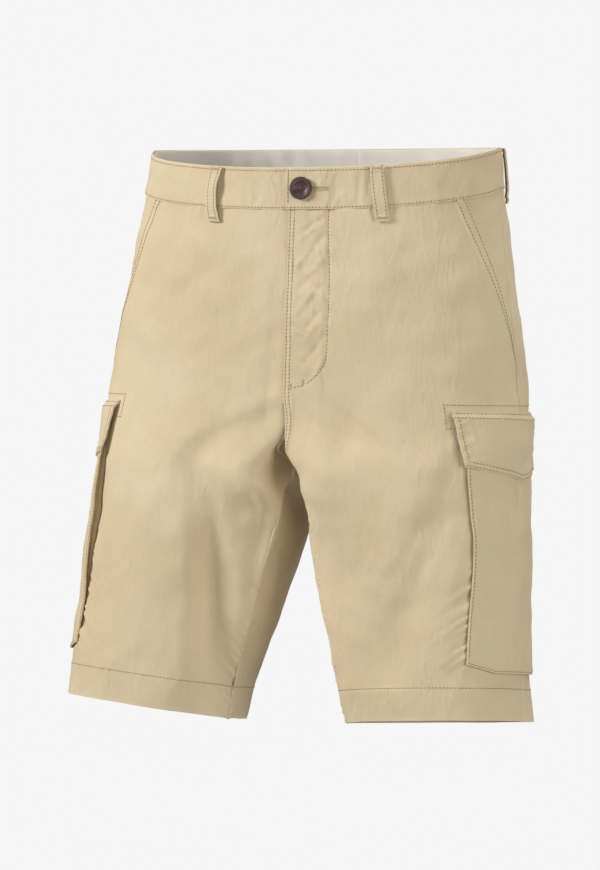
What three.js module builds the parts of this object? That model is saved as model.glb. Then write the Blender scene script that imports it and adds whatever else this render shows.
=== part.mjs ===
// Cargo shorts, filled out as if worn and hollow inside. Millimetres, +Z up, the front faces -Y
// and the wearer's left is +X. The origin is the middle of the waist opening, level with the top
// of the waistband at the sides. "drop" is the distance below that level.
import * as THREE from "three";

const cloth = 1.2; // one layer of cotton
const bandCloth = 2.4; // waistband: two layers and a stiffener
const seam = 0.3; // clear gap between neighbouring pieces
const bandDepth = 37;
const bandProud = 0.6;
const underlap = 18; // how far the right end of the waistband runs under the left one
const lap = { reach: 44, slope: 22 }; // where the left end starts to rise, and over what width
const hemDepth = 28;
const outseam = 507; // waist to hem down the side
const crotchDrop = 283;
const swing = 9.5; // how far the right leg stands out beyond the left one at the hem, halved
const swingTilt = 1.2; // lift of the outer hem that goes with it

// Half sections of the shorts, waist to hem, each part of an oval. outer and inner are the oval's
// reach from the centre plane; inner is negative where left and right merge above the crotch.
// front and back are its depths, ahead moves it forward, corner squares its front inner quarter,
// and the lifts raise its front, back and outer edge. inseam and side are seam angles in degrees.
const sections = table(
  "drop outer inner front back ahead corner frontLift backLift outerLift inseam side",
  [0, 163, -163, 80, 106, 3, 0, -18, 2, 0, 0, 3],
  [37, 167, -167, 77, 114, 9, 0, -18, 2, 0, 0, 2],
  [100, 178, -171, 75, 127, 17, 0, -10, 1, 0, 0, -6],
  [165, 188, -159, 75, 136, 23, 0.05, -2, 0, 0, 0, -9],
  [215, 194, -112, 75, 138, 28, 0.2, 4, -4, 1, 0, -9],
  [250, 195, -54, 75, 136, 32, 0.5, 7, -7, 2, 0, -8],
  [270, 194, -16, 76, 132, 35, 0.85, 8, -8, 2, 0, -7],
  [283, 194, 0.15, 78, 128, 36, 1, 9, -9, 3, 0, -7],
  [305, 195, 1, 80, 121, 38, 0.95, 10, -10, 3, 19, -7],
  [330, 197, 3, 80, 114, 41, 0.5, 11, -11, 4, 28, -7],
  [360, 200, 11, 80, 108, 43, 0.15, 12, -12, 5, 30, -7],
  [430, 207, 31, 80, 98, 48, 0, 14, -14, 6, 27, -7],
  [507, 216, 54, 80, 88, 52, 0, 15, -15, 6.5, 18, -7],
);

// Rows of points down a leg panel, closer together round the crotch and at the turned hem.
const panelDrops = [
  37.3, 60, 85, 110, 135, 160, 180, 200, 218, 234, 248, 260, 270, 278, 283, 289, 298, 312, 330,
  350, 372, 396, 422, 450, 478, 479, 507,
];
const panelColumns = 14;

// Slanted hip pocket: how far forward of the side seam it is cut, where it meets that seam, and how
// far its under piece runs beneath the panel, forward and down, and how far inside it lies.
const slant = { cut: 50, end: 203, under: 9, below: 8, gap: 1 };

// Fly: a lap on the wearer's left front, closed by a rounded end.
const fly = { width: 33, top: 37.3, end: 217, curve: 34, tip: 5 };
const lapProud = cloth + seam;

const loop = { width: 12, length: 50, top: 0.5, cloth: 1.5, gap: 2.6, flatness: 0.7, step: 8 };
const frontLoopReach = 74; // distance of the front loops from the centre
const sideLoopBehind = 24; // distance of the side loops behind the side seam

// Cargo pocket, measured along the cloth from the side seam. point is how much deeper its middle
// hangs than its corners, round the share of its half width over which it rises to them, bulge how
// far its middle stands out, corner the bellows' corner radius and inset how far they are set in.
const pocket = { half: 60, top: 252, bottom: 466, point: 7, round: 0.45, bulge: 1.5, corner: 10, inset: 5 };
const flap = { half: 66, point: 10, ramp: 0.17 };

const button = { radius: 10, thick: 3.2, reach: 8.2, drop: 18.5, clear: 1.1 };

const colours = { cotton: 0xd3c29b, lining: 0xc6c1b4, horn: 0x4a3835 };

function table(names, ...rows) {
  const keys = names.split(" ");
  return rows.map((row) => Object.fromEntries(keys.map((key, i) => [key, row[i]])));
}

// Smooth curve through one column of a table, by a cubic with averaged slopes.
function along(rows, key, at, from = "drop") {
  const last = rows.length - 1;
  const slope = (i) => (rows[i + 1][key] - rows[i][key]) / (rows[i + 1][from] - rows[i][from]);
  const tangent = (i) => {
    if (i === 0) return slope(0);
    if (i === last) return slope(last - 1);
    const before = rows[i][from] - rows[i - 1][from];
    const after = rows[i + 1][from] - rows[i][from];
    return (before * slope(i) + after * slope(i - 1)) / (before + after);
  };
  let i = 0;
  while (i < last - 1 && at > rows[i + 1][from]) i++;
  const span = rows[i + 1][from] - rows[i][from];
  const t = (at - rows[i][from]) / span;
  const start = rows[i][key] * (2 * t ** 3 - 3 * t ** 2 + 1) + tangent(i) * span * (t ** 3 - 2 * t ** 2 + t);
  return start + rows[i + 1][key] * (3 * t ** 2 - 2 * t ** 3) + tangent(i + 1) * span * (t ** 3 - t ** 2);
}

function smooth(t) {
  const c = Math.min(1, Math.max(0, t));
  return c * c * (3 - 2 * c);
}

const sectionCache = new Map();
function section(drop) {
  if (!sectionCache.has(drop)) {
    const s = {};
    for (const key of Object.keys(sections[0])) s[key] = along(sections, key, drop);
    s.out = (s.outer + s.inner) / 2;
    s.half = (s.outer - s.inner) / 2;
    sectionCache.set(drop, s);
  }
  return sectionCache.get(drop);
}

// Largest folds: soft troughs and ridges that run over the cloth. Each goes from one place to
// another, given by its side, its angle round the leg in degrees and its drop.
const folds = table(
  "side angle1 drop1 angle2 drop2 width depth",
  [-1, -81, 268, -128, 457, 15, -5],
  [-1, -99, 292, -147, 446, 14, 3.5],
  [-1, -105, 218, -84, 268, 13, 2.5],
  [-1, -67, 107, -36, 177, 24, 2.5],
  [-1, 135, 262, 104, 410, 15, -4.5],
  [-1, 76, 292, 82, 440, 16, 3],
  [1, -60, 334, -112, 438, 17, -5],
  [1, -88, 248, -108, 262, 16, -3],
  [1, 128, 270, 98, 436, 17, -5],
  [1, 66, 305, 72, 452, 16, 3],
);
const meanRadius = 100; // turns a fold's angles into lengths
const foldEnd = 0.3; // share of its length over which a fold dies away

function foldLift(side, drop, angle) {
  let lift = 0;
  for (const fold of folds) {
    if (fold.side !== side) continue;
    const toArc = (degrees) => THREE.MathUtils.degToRad(degrees) * meanRadius;
    const run = new THREE.Vector2(toArc(fold.angle2 - fold.angle1), fold.drop2 - fold.drop1);
    const here = new THREE.Vector2(angle * meanRadius - toArc(fold.angle1), drop - fold.drop1);
    const share = here.dot(run) / run.lengthSq();
    const apart = Math.abs(here.cross(run)) / run.length();
    const ends = smooth(share / foldEnd + 0.3) * smooth((1 - share) / foldEnd + 0.3);
    lift += fold.depth * ends * Math.exp(-((apart / fold.width) ** 2));
  }
  return lift;
}

// A point of the cloth's outer surface. angle runs from the front, below 0, past the side at 0 to
// the back, above 0. side is 1 for the wearer's left and -1 for the right.
function smoothPoint(side, drop, angle) {
  const s = section(Math.min(Math.max(drop, 0), outseam));
  const ahead = Math.sin(angle) < 0;
  const inward = Math.max(0, -Math.cos(angle));
  const squared = ahead ? s.front * (1 + s.corner * inward ** 2) : s.back;
  const lift = (ahead ? s.frontLift : s.backLift) * Math.abs(Math.sin(angle));
  const leg = smooth((drop - crotchDrop) / (outseam - crotchDrop));
  const x = s.out + s.half * Math.cos(angle) - side * swing * leg;
  const tilt = s.outerLift - side * swingTilt * leg;
  return new THREE.Vector3(
    side * x,
    squared * Math.sin(angle) - s.ahead,
    lift + tilt * Math.cos(angle) - drop,
  );
}

const smallTurn = 0.01; // radians, for slopes along the cloth
function smoothNormal(side, drop, angle) {
  const step = 1;
  const across = smoothPoint(side, drop, angle + smallTurn).sub(smoothPoint(side, drop, angle - smallTurn));
  const down = smoothPoint(side, drop + step, angle).sub(smoothPoint(side, drop - step, angle));
  return down.cross(across).multiplyScalar(side).normalize();
}

// The same point moved out from the cloth by proud, with the folds.
function clothPoint(side, drop, angle, proud = 0) {
  const lift = foldLift(side, drop, angle) + proud;
  return smoothPoint(side, drop, angle).addScaledVector(smoothNormal(side, drop, angle), lift);
}

// Angles of the panels' edges: the centre line or inseam in front and behind, and the side seam.
function innerEdge(drop, face) {
  const s = section(drop);
  const gapTurn = seam / (s.front * (1 + s.corner) + s.back);
  if (drop > crotchDrop) {
    const turn = THREE.MathUtils.degToRad(s.inseam);
    return face < 0 ? turn - Math.PI + gapTurn : turn + Math.PI - gapTurn;
  }
  const open = Math.acos(Math.max(-1, Math.min(1, (s.out - seam / 2) / s.half)));
  return face * (Math.PI - Math.max(open, gapTurn));
}

function sideSeam(drop) {
  return THREE.MathUtils.degToRad(section(drop).side);
}

// The angle that lies arc millimetres forward of the side seam, or behind it if arc is negative.
function angleAt(drop, arc) {
  const turn = THREE.MathUtils.degToRad(1);
  const way = arc > 0 ? -1 : 1;
  let angle = sideSeam(drop);
  let left = Math.abs(arc);
  let here = smoothPoint(1, drop, angle);
  for (;;) {
    const next = smoothPoint(1, drop, angle + way * turn);
    const length = next.distanceTo(here);
    if (length >= left) return angle + (way * turn * left) / length;
    left -= length;
    angle += way * turn;
    here = next;
  }
}

function slantCut(drop) {
  return slant.cut * (Math.max(0, slant.end - drop) / (slant.end - bandDepth)) ** 2;
}

// A sheet with a wall: two grids of points, outer and inner, joined round their edges.
function sheet(name, colour, rows, columns, outerAt, innerAt, flip = false) {
  const points = [];
  for (const at of [outerAt, innerAt])
    for (let i = 0; i <= rows; i++)
      for (let j = 0; j <= columns; j++) points.push(at(i / rows, j / columns, i, j));
  const wide = columns + 1;
  const layer = (rows + 1) * wide;
  const faces = [];
  const quad = (a, b, c, d) => faces.push(a, b, c, a, c, d);
  for (let i = 0; i < rows; i++)
    for (let j = 0; j < columns; j++) {
      const a = i * wide + j;
      quad(a, a + wide, a + wide + 1, a + 1);
      quad(layer + a, layer + a + 1, layer + a + wide + 1, layer + a + wide);
    }
  const rim = [];
  for (let j = 0; j < columns; j++) rim.push(j);
  for (let i = 0; i < rows; i++) rim.push(i * wide + columns);
  for (let j = columns; j > 0; j--) rim.push(rows * wide + j);
  for (let i = rows; i > 0; i--) rim.push(i * wide);
  rim.forEach((a, k) => {
    const b = rim[(k + 1) % rim.length];
    quad(a, b, layer + b, layer + a);
  });
  if (flip) faces.reverse();
  const geometry = new THREE.BufferGeometry();
  geometry.setAttribute("position", new THREE.Float32BufferAttribute(points.flatMap((p) => p.toArray()), 3));
  geometry.setIndex(faces);
  geometry.computeVertexNormals();
  const material = new THREE.MeshStandardMaterial({ color: colour, roughness: 0.85, metalness: 0 });
  const mesh = new THREE.Mesh(geometry, material);
  mesh.name = name;
  return mesh;
}

// drift is how the pocket's foot swings forward on the leg, and stand how far its edges stand off it:
// foot everywhere and more in a swell round one drop.
const sides = [
  {
    name: "left",
    sign: 1,
    pocketShift: 1,
    flap: { top: 234.5, side: 51 },
    drift: { from: 340, over: 110, reach: 7 },
    stand: { foot: 2.6, more: 0, at: 330, over: 75 },
  },
  {
    name: "right",
    sign: -1,
    pocketShift: -28,
    flap: { top: 231, side: 50 },
    drift: { from: 290, over: 150, reach: 15 },
    stand: { foot: 1.2, more: 6.6, at: 330, over: 75 },
  },
];

// The left end of the waistband stands proud where it laps over the right one.
function lapLift(side, drop, angle) {
  if (side < 0 || angle > 0) return 0;
  const reach = smoothPoint(side, drop, angle).x;
  return (bandCloth + seam) * smooth((lap.reach - reach) / lap.slope);
}

function legPanel(side, face) {
  const wall = (drop) => (drop > outseam - hemDepth - 0.5 ? 2 * cloth : cloth);
  const place = (proud) => (v, u, i) => {
    const drop = panelDrops[i];
    const from = innerEdge(drop, face);
    const gap = seam / 2 + (face < 0 ? slantCut(drop) : 0);
    const to = angleAt(drop, -face * gap);
    return clothPoint(side.sign, drop, THREE.MathUtils.lerp(from, to, u), proud * wall(drop));
  };
  const name = `${face < 0 ? "front" : "back"}_${side.name}`;
  const rows = panelDrops.length - 1;
  return sheet(name, colours.cotton, rows, panelColumns, place(0), place(-1), side.sign * face > 0);
}

// The part of the hip pocket that shows between its slanted edge and the side seam.
function hipPocket(side) {
  const rows = 10;
  const columns = 5;
  const place = (proud) => (v, u) => {
    const drop = THREE.MathUtils.lerp(bandDepth + seam, slant.end + slant.below, v);
    const arc = THREE.MathUtils.lerp(slantCut(drop) + slant.under, seam / 2, u);
    return clothPoint(side.sign, drop, angleAt(drop, arc), proud);
  };
  const under = -cloth - slant.gap;
  const name = `hip_pocket_${side.name}`;
  return sheet(name, colours.cotton, rows, columns, place(under), place(under - cloth), side.sign < 0);
}

// One half of the waistband, or of the strip that lines it, from the centre front to the back.
function halfBand(name, colour, side, shape) {
  const rows = 3;
  const columns = 30;
  const place = (deeper) => (v, u) => {
    const drop = THREE.MathUtils.lerp(shape.top, shape.bottom, v);
    const angle = THREE.MathUtils.lerp(shape.start(drop), innerEdge(drop, 1), u);
    const rise = shape.laps ? lapLift(side, drop, angle) : 0;
    return clothPoint(side, drop, angle, shape.proud + rise - deeper);
  };
  return sheet(name, colour, rows, columns, place(0), place(shape.wall), side < 0);
}

function waistband(side) {
  const shape = { top: 0, bottom: bandDepth, proud: bandProud, wall: bandCloth, laps: true };
  const under = side.sign < 0 ? underlap : 0;
  shape.start = (drop) => innerEdge(drop, -1) - under / section(drop).half;
  return halfBand(`waistband_${side.name}`, colours.cotton, side.sign, shape);
}

function waistLining(side) {
  const shape = { top: 1, bottom: bandDepth, proud: bandProud - bandCloth - seam, wall: 1, laps: false };
  shape.start = (drop) => {
    const s = section(drop);
    return side.sign > 0 ? -Math.acos((lap.reach + 2) / s.half) : innerEdge(drop, -1);
  };
  return halfBand(`waist_lining_${side.name}`, colours.lining, side.sign, shape);
}

function flyLap() {
  const rows = 16;
  const columns = 4;
  const place = (proud) => (v, u) => {
    const drop = THREE.MathUtils.lerp(fly.top, fly.end, v);
    const fromEnd = Math.max(0, drop - (fly.end - fly.curve)) / fly.curve;
    const width = Math.max(fly.tip, fly.width * Math.sqrt(Math.max(0, 1 - fromEnd ** 2)));
    const s = section(drop);
    const edge = innerEdge(drop, -1);
    const far = -Math.acos(THREE.MathUtils.clamp((width - s.out) / s.half, -1, 1));
    const angle = THREE.MathUtils.lerp(edge, far, u);
    return clothPoint(1, drop, angle, proud);
  };
  return sheet("fly", colours.cotton, rows, columns, place(lapProud), place(seam));
}

function beltLoop(name, side, angleOf) {
  const rows = 8;
  const columns = 2;
  const place = (proud) => (v, u) => {
    const drop = THREE.MathUtils.lerp(loop.top, loop.length, v);
    const middle = angleOf(drop);
    const step = smoothPoint(side, drop, middle + smallTurn).sub(smoothPoint(side, drop, middle));
    const radius = step.length() / smallTurn;
    const angle = middle + ((u - 0.5) * loop.width) / radius;
    const arch = loop.gap * Math.sin(Math.PI * v) ** loop.flatness;
    const clear = seam + bandProud * smooth((bandDepth + loop.step - drop) / loop.step);
    return clothPoint(side, drop, angle, clear + arch + proud);
  };
  return sheet(name, colours.cotton, rows, columns, place(loop.cloth), place(0), side < 0);
}

function beltLoops() {
  const loops = sides.flatMap(({ name, sign }) => [
    beltLoop(`belt_loop_front_${name}`, sign, (drop) => -Math.acos(frontLoopReach / section(drop).half)),
    beltLoop(`belt_loop_side_${name}`, sign, () => angleAt(bandDepth / 2, -sideLoopBehind)),
  ]);
  return [...loops, beltLoop("belt_loop_back", 1, () => Math.PI / 2)];
}

// A point of a cargo pocket, arc millimetres forward of the pocket's own middle line.
function pocketPoint(side, drop, arc, proud) {
  const swung = side.drift.reach * smooth((drop - side.drift.from) / side.drift.over);
  return clothPoint(side.sign, drop, angleAt(drop, arc + side.pocketShift + swung), proud);
}

// Cargo pocket: how far its face stands off the leg, highest in the middle.
function pocketStand(side, arc, drop) {
  const across = Math.max(0, 1 - (arc / pocket.half) ** 2);
  const share = Math.max(0, drop - pocket.top) / (pocketBottom(arc) - pocket.top);
  const { foot, more, at, over } = side.stand;
  const edges = foot + more * Math.exp(-(((drop - at) / over) ** 2));
  return edges + pocket.bulge * across * Math.sin(Math.PI * share);
}

function pocketBottom(arc) {
  const rise = (Math.abs(arc) / pocket.half - 1) / pocket.round + 1;
  return pocket.bottom - pocket.point * THREE.MathUtils.clamp(rise, 0, 1);
}

function pocketFace(side) {
  const rows = 12;
  const columns = 12;
  const place = (deeper) => (v, u) => {
    const arc = pocket.half * (1 - 2 * u);
    const drop = THREE.MathUtils.lerp(pocket.top, pocketBottom(arc), v);
    const proud = cloth + pocketStand(side, arc, drop) - deeper;
    return pocketPoint(side, drop, arc, proud);
  };
  const name = `cargo_pocket_${side.name}`;
  return sheet(name, colours.cotton, rows, columns, place(0), place(cloth), side.sign < 0);
}

// The bellows strip between the leg and the pocket's face, round its front, foot and back.
function pocketGusset(side) {
  const inset = pocket.inset;
  const reach = pocket.half - inset;
  const corner = pocket.corner;
  const route = (u, deeper) => {
    const half = reach - deeper;
    const foot = (arc) => pocketBottom(arc) - inset - deeper;
    const legs = foot(half) - corner - pocket.top;
    const turn = (Math.PI / 2) * corner;
    const whole = 2 * legs + 2 * turn + 2 * (half - corner);
    let at = u * whole;
    const mirrored = at > whole / 2;
    if (mirrored) at = whole - at;
    let arc = half;
    let drop = pocket.top + at;
    if (at > legs + turn) {
      arc = Math.max(0, half - corner - (at - legs - turn));
      drop = foot(arc);
    } else if (at > legs) {
      const swung = (at - legs) / corner;
      arc = half - corner * (1 - Math.cos(swung));
      drop = THREE.MathUtils.lerp(pocket.top + legs, foot(arc), Math.sin(swung));
    }
    return { arc: mirrored ? -arc : arc, drop };
  };
  const place = (deeper) => (v, u) => {
    const { arc, drop } = route(u, deeper);
    const proud = THREE.MathUtils.lerp(seam, pocketStand(side, arc, drop) - 2 * seam, v);
    return pocketPoint(side, drop, arc, proud);
  };
  const name = `cargo_gusset_${side.name}`;
  return sheet(name, colours.cotton, 1, 48, place(0), place(cloth), side.sign > 0);
}

function pocketFlap(side) {
  const rows = 6;
  const columns = 12;
  const place = (deeper) => (v, u) => {
    const arc = flap.half * (1 - 2 * u);
    const point = flap.point * (1 - Math.abs(arc) / flap.half);
    const { top, side: length } = side.flap;
    const drop = THREE.MathUtils.lerp(top, top + length + point, v);
    const over = pocketStand(side, arc, drop) + 2 * cloth + 2 * seam;
    const proud = THREE.MathUtils.lerp(2 * seam + cloth, over, smooth(v / flap.ramp)) - deeper;
    return pocketPoint(side, drop, arc, proud);
  };
  const name = `cargo_flap_${side.name}`;
  return sheet(name, colours.cotton, rows, columns, place(0), place(cloth), side.sign < 0);
}

// The button, with a raised rim and a sunk middle, on the lap of the waistband.
function waistButton() {
  const { radius, thick } = button;
  const profile = [
    [0, 0],
    [0.86, 0],
    [1, 0.3],
    [1, 0.72],
    [0.92, 0.97],
    [0.8, 1],
    [0.56, 0.86],
    [0.5, 0.62],
    [0, 0.55],
  ].map(([r, h]) => new THREE.Vector2(r * radius, h * thick));
  const geometry = new THREE.LatheGeometry(profile, 32);
  const material = new THREE.MeshStandardMaterial({ color: colours.horn, roughness: 0.4, metalness: 0 });
  const mesh = new THREE.Mesh(geometry, material);
  mesh.name = "button";
  const angle = -Math.acos(button.reach / section(button.drop).half);
  const normal = smoothNormal(1, button.drop, angle);
  const stand = bandProud + bandCloth + button.clear;
  mesh.position.copy(smoothPoint(1, button.drop, angle)).addScaledVector(normal, stand);
  mesh.quaternion.setFromUnitVectors(new THREE.Vector3(0, 1, 0), normal);
  return mesh;
}

const shorts = new THREE.Group();
for (const side of sides) {
  shorts.add(legPanel(side, -1), legPanel(side, 1), hipPocket(side));
  shorts.add(waistband(side), waistLining(side));
  shorts.add(pocketFace(side), pocketGusset(side), pocketFlap(side));
}
shorts.add(flyLap(), ...beltLoops(), waistButton());

export default shorts;
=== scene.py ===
import bpy
import math
import numpy as np
from mathutils import Matrix, Vector


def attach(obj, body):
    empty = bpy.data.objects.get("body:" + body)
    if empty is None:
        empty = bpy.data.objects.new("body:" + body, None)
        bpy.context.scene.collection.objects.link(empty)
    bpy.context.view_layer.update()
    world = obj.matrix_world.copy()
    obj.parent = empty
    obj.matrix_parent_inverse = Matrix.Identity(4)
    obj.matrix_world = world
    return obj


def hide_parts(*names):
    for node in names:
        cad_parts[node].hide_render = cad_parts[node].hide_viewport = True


# Cargo shorts, filled out as if worn. The cloth is worked out in millimetres, as it is cut, and
# turned into metres when a mesh is made. "drop" is the distance below the waist. "arc" is the
# distance along the cloth from the side seam, forward above 0 and backward below it. A side is
# 1 for the wearer's left and -1 for the right, a face -1 in front and 1 behind.
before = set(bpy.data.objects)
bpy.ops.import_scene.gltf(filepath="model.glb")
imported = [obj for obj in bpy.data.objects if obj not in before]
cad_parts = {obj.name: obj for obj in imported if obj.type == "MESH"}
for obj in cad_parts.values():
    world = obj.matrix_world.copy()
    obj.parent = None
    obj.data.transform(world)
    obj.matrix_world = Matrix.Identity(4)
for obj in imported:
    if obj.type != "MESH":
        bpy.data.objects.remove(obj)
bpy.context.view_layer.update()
mm = 0.001

cut = {
    "cloth": 1.1,            # one layer of cotton, with its nap
    "bandCloth": 2.4,        # waistband, two layers and a stiffener
    "bandDepth": 37,
    "bandProud": 0.6,
    "bandLap": 1.2,          # how far the panels run up under the band
    "hem": 28,
    "outseam": 507,
    "crotch": 283,
    "swing": 9.5,            # how far the right leg stands out beyond the left one, halved
    "swingTilt": 1.2,
    "tuck": 1.2,             # how deep a seam is drawn in
    "tuckWidth": 1.5,
    "gap": 0.3,              # between neighbouring pieces
    "thread": 0.1,           # how high a row of stitches lies
}
hemTop = cut["outseam"] - cut["hem"]
slant = {"cut": 50, "end": 203, "under": 9, "below": 8, "row": 1.7, "secondRow": 8.5, "proud": 0.7,
         "show": {1: 1, -1: 0.4}, "welt": (0.3, 3.2), "closes": 14}
fly = {"width": 32.4, "widens": 3, "end": 214, "curve": 36, "lap": 1.4, "under": 14, "over": 3.2,
       "rows": (1.7, 5.2)}
band = {"lapReach": 44, "lapSlope": 22, "underlap": 18, "over": 6, "wall": 1.9, "rowTop": 3.2, "rowFoot": 1.8,
        "middle": 18.5}
button = {"radius": 10, "thick": 3.2, "reach": 8.2, "clear": 1.1, "holes": 0.85, "holesOut": 2.1,
          "bevel": 0.55}
hole = {"reach": 21, "half": 10, "gap": 1.25, "satin": 1.9, "pitch": 0.42}
loop = {"width": 12, "length": 50, "top": 0.5, "cloth": 1.3, "gap": 2.4, "flatness": 0.7, "step": 8,
        "foldBack": 5, "row": 1.9, "tacks": (2.6, 46.6), "frontReach": 74, "sideArc": -24}
pocket = {"half": 60, "top": 252, "bottom": 466, "point": 7, "round": 0.45, "bulge": 1.5, "corner": 10,
          "inset": 5, "row": 1.8, "wall": 1.265}
flap = {"half": 68, "taper": 5, "point": 10, "ramp": 0.13, "wall": 1.7, "topRows": (1.6, 6.2),
        "footRows": (1.6, 5.2), "edgeRow": 4.5, "tackOut": 6, "tackIn": 4, "tackUp": 6.5, "tackDown": 15.5}
sides = {
    1: {"name": "left", "pocketShift": 1, "flapTop": 234.5, "flapSide": 51, "frontBow": 4.5,
        "drift": {"start": 340, "over": 110, "reach": 7},
        "stand": {"foot": 2.6, "more": 0, "at": 330, "over": 75}},
    -1: {"name": "right", "pocketShift": -28, "flapTop": 231, "flapSide": 50, "frontBow": 0,
         "drift": {"start": 290, "over": 150, "reach": 15},
         "stand": {"foot": 1.2, "more": 6.6, "at": 330, "over": 75}},
}


def table(names, *rows):
    grid = np.array(rows, float)
    return {name: grid[:, i] for i, name in enumerate(names.split())}


# Half sections of the shorts from waist to hem, as the frame's cloth has them.
sections = table(
    "drop outer inner front back ahead corner frontLift backLift outerLift inseam side",
    [0, 163, -163, 80, 106, 3, 0, -18, 2, 0, 0, 3],
    [37, 167, -167, 77, 114, 9, 0, -18, 2, 0, 0, 2],
    [100, 178, -171, 75, 127, 17, 0, -10, 1, 0, 0, -6],
    [165, 188, -159, 75, 136, 23, 0.05, -2, 0, 0, 0, -9],
    [215, 194, -112, 75, 138, 28, 0.2, 4, -4, 1, 0, -9],
    [250, 195, -54, 75, 136, 32, 0.5, 7, -7, 2, 0, -8],
    [270, 194, -16, 76, 132, 35, 0.85, 8, -8, 2, 0, -7],
    [283, 194, 0.15, 78, 128, 36, 1, 9, -9, 3, 0, -7],
    [305, 195, 1, 80, 121, 38, 0.95, 10, -10, 3, 19, -7],
    [330, 197, 3, 80, 114, 41, 0.5, 11, -11, 4, 28, -7],
    [360, 200, 11, 80, 108, 43, 0.15, 12, -12, 5, 30, -7],
    [430, 207, 31, 80, 98, 48, 0, 14, -14, 6, 27, -7],
    [507, 216, 54, 80, 88, 52, 0, 15, -15, 6.5, 18, -7],
)

# The largest folds, by angle round the leg in degrees: ridges above 0, troughs below.
folds = table(
    "side angle1 drop1 angle2 drop2 width depth",
    [-1, -90, 252, -138, 470, 17, -8.5],
    [-1, -112, 296, -152, 446, 10, 2.5],
    [-1, -105, 218, -84, 268, 13, 2.5],
    [-1, -67, 107, -36, 177, 24, 2.5],
    [-1, 135, 262, 104, 410, 15, -4.5],
    [-1, 76, 292, 82, 440, 16, 3],
    [1, -57, 320, -104, 474, 21, -6.5],
    [1, -88, 248, -108, 262, 16, -3],
    [1, 128, 270, 98, 436, 17, -5],
    [1, 66, 305, 72, 452, 16, 3],
)
legRadius = 100
folds["arc1"] = np.radians(folds["angle1"]) * legRadius
folds["arc2"] = np.radians(folds["angle2"]) * legRadius

# Lesser creases, by arc and drop: ridges above 0, troughs below.
creases = table(
    "side arc1 drop1 arc2 drop2 width depth",
    # right leg, below the crotch
    [-1, 160, 300, 198, 474, 15, -3.2],
    [-1, 196, 330, 216, 450, 9, 2.2],
    [-1, 204, 296, 222, 366, 7, -2.6],
    [-1, 140, 300, 168, 420, 6, -0.9],
    [-1, 110, 300, 94, 424, 16, 1.3],
    [-1, 70, 300, 84, 400, 12, -0.9],
    [-1, 150, 420, 166, 478, 6, 1.1],
    # right front, beside the fly
    [-1, 186, 110, 203, 262, 9, -1.7],
    [-1, 174, 196, 176, 268, 11, 1.3],
    [-1, 200, 190, 212, 246, 4, 0.8],
    [-1, 193, 196, 200, 250, 3, -0.7],
    [-1, 166, 58, 158, 150, 12, -0.9],
    [-1, 128, 84, 48, 186, 19, -1.9],
    [-1, 60, 96, 24, 146, 15, -1.0],
    [-1, 108, 60, 96, 110, 12, 0.7],
    # left front and thigh
    [1, 156, 232, 172, 284, 10, -1.6],
    [1, 187, 232, 190, 300, 11, 1.8],
    [1, 118, 120, 152, 172, 15, 0.9],
    [1, 104, 76, 86, 158, 14, -0.9],
    [1, 92, 326, 150, 412, 7, -1.0],
    [1, 70, 330, 104, 400, 6, 0.8],
    [1, 132, 210, 116, 262, 11, 0.9],
    [1, 110, 236, 92, 284, 10, -0.8],
    [1, 66, 268, 88, 326, 9, -1.0],
    # back, where the seat and thighs hang
    [1, -236, 236, -168, 268, 8, -1.6],
    [1, -226, 268, -160, 330, 10, -1.9],
    [1, -196, 250, -140, 296, 9, 1.5],
    [1, -120, 300, -96, 420, 14, 1.5],
    [1, -64, 320, -84, 440, 12, -1.4],
    [1, -206, 350, -168, 440, 11, 1.6],
    [1, -60, 70, -40, 160, 16, -1.1],
    [1, -150, 60, -160, 130, 13, 0.9],
    [-1, -232, 242, -160, 262, 8, -1.5],
    [-1, -230, 276, -150, 344, 11, -2.1],
    [-1, -190, 262, -130, 318, 9, 1.6],
    [-1, -112, 290, -90, 400, 13, 1.3],
    [-1, -58, 330, -80, 450, 13, -1.5],
    [-1, -210, 340, -176, 430, 10, 1.7],
    [-1, -70, 64, -44, 150, 15, -1.0],
    [-1, -140, 66, -154, 142, 12, 0.9],
)

# Wrinkles drawn together by the fly's lining, slanted up and out.
flyWrinkles = table(
    "side arc1 drop1 arc2 drop2 width depth",
    [1, 174, 44, 192, 60, 3.0, -0.9],
    [1, 178, 50, 196, 70, 2.6, 0.7],
    [1, 172, 62, 186, 84, 3.4, -1.0],
    [1, 180, 72, 195, 96, 2.8, 0.8],
    [1, 170, 84, 184, 106, 3.0, 0.7],
    [1, 176, 98, 194, 118, 3.2, -0.9],
    [1, 171, 110, 183, 132, 2.6, -0.6],
    [1, 180, 118, 196, 142, 3.0, 0.8],
    [1, 172, 136, 188, 156, 3.2, -0.9],
    [1, 178, 148, 192, 172, 2.8, 0.7],
    [1, 171, 160, 186, 180, 3.0, -0.7],
    [1, 180, 172, 196, 192, 3.0, -0.8],
    [1, 174, 182, 188, 204, 2.6, 0.6],
    [1, 184, 196, 200, 210, 3.0, -0.6],
)

bandCreases = table(
    "side arc1 drop1 arc2 drop2 width depth",
    [1, 144, 4, 146, 34, 2.2, -1.0],
    [1, 151, 6, 149, 33, 3.0, 0.6],
    [1, 137, 10, 139, 36, 3.0, -0.5],
    [1, 196, 6, 190, 14, 2.4, -0.6],
    [1, 187, 24, 176, 34, 2.6, -0.6],
    [1, 182, 5, 172, 16, 2.4, 0.5],
    [1, 168, 8, 162, 26, 3.0, -0.6],
    [1, 160, 20, 154, 34, 2.6, 0.5],
    [1, 60, 3, 74, 30, 6, -0.7],
    [1, 40, 6, 52, 34, 6, 0.6],
    [1, 26, 4, 34, 34, 5, -0.6],
    [-1, 120, 4, 112, 34, 7, -0.5],
    [-1, 60, 6, 72, 34, 8, 0.5],
    [-1, 176, 6, 168, 32, 5, -0.5],
)

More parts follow.
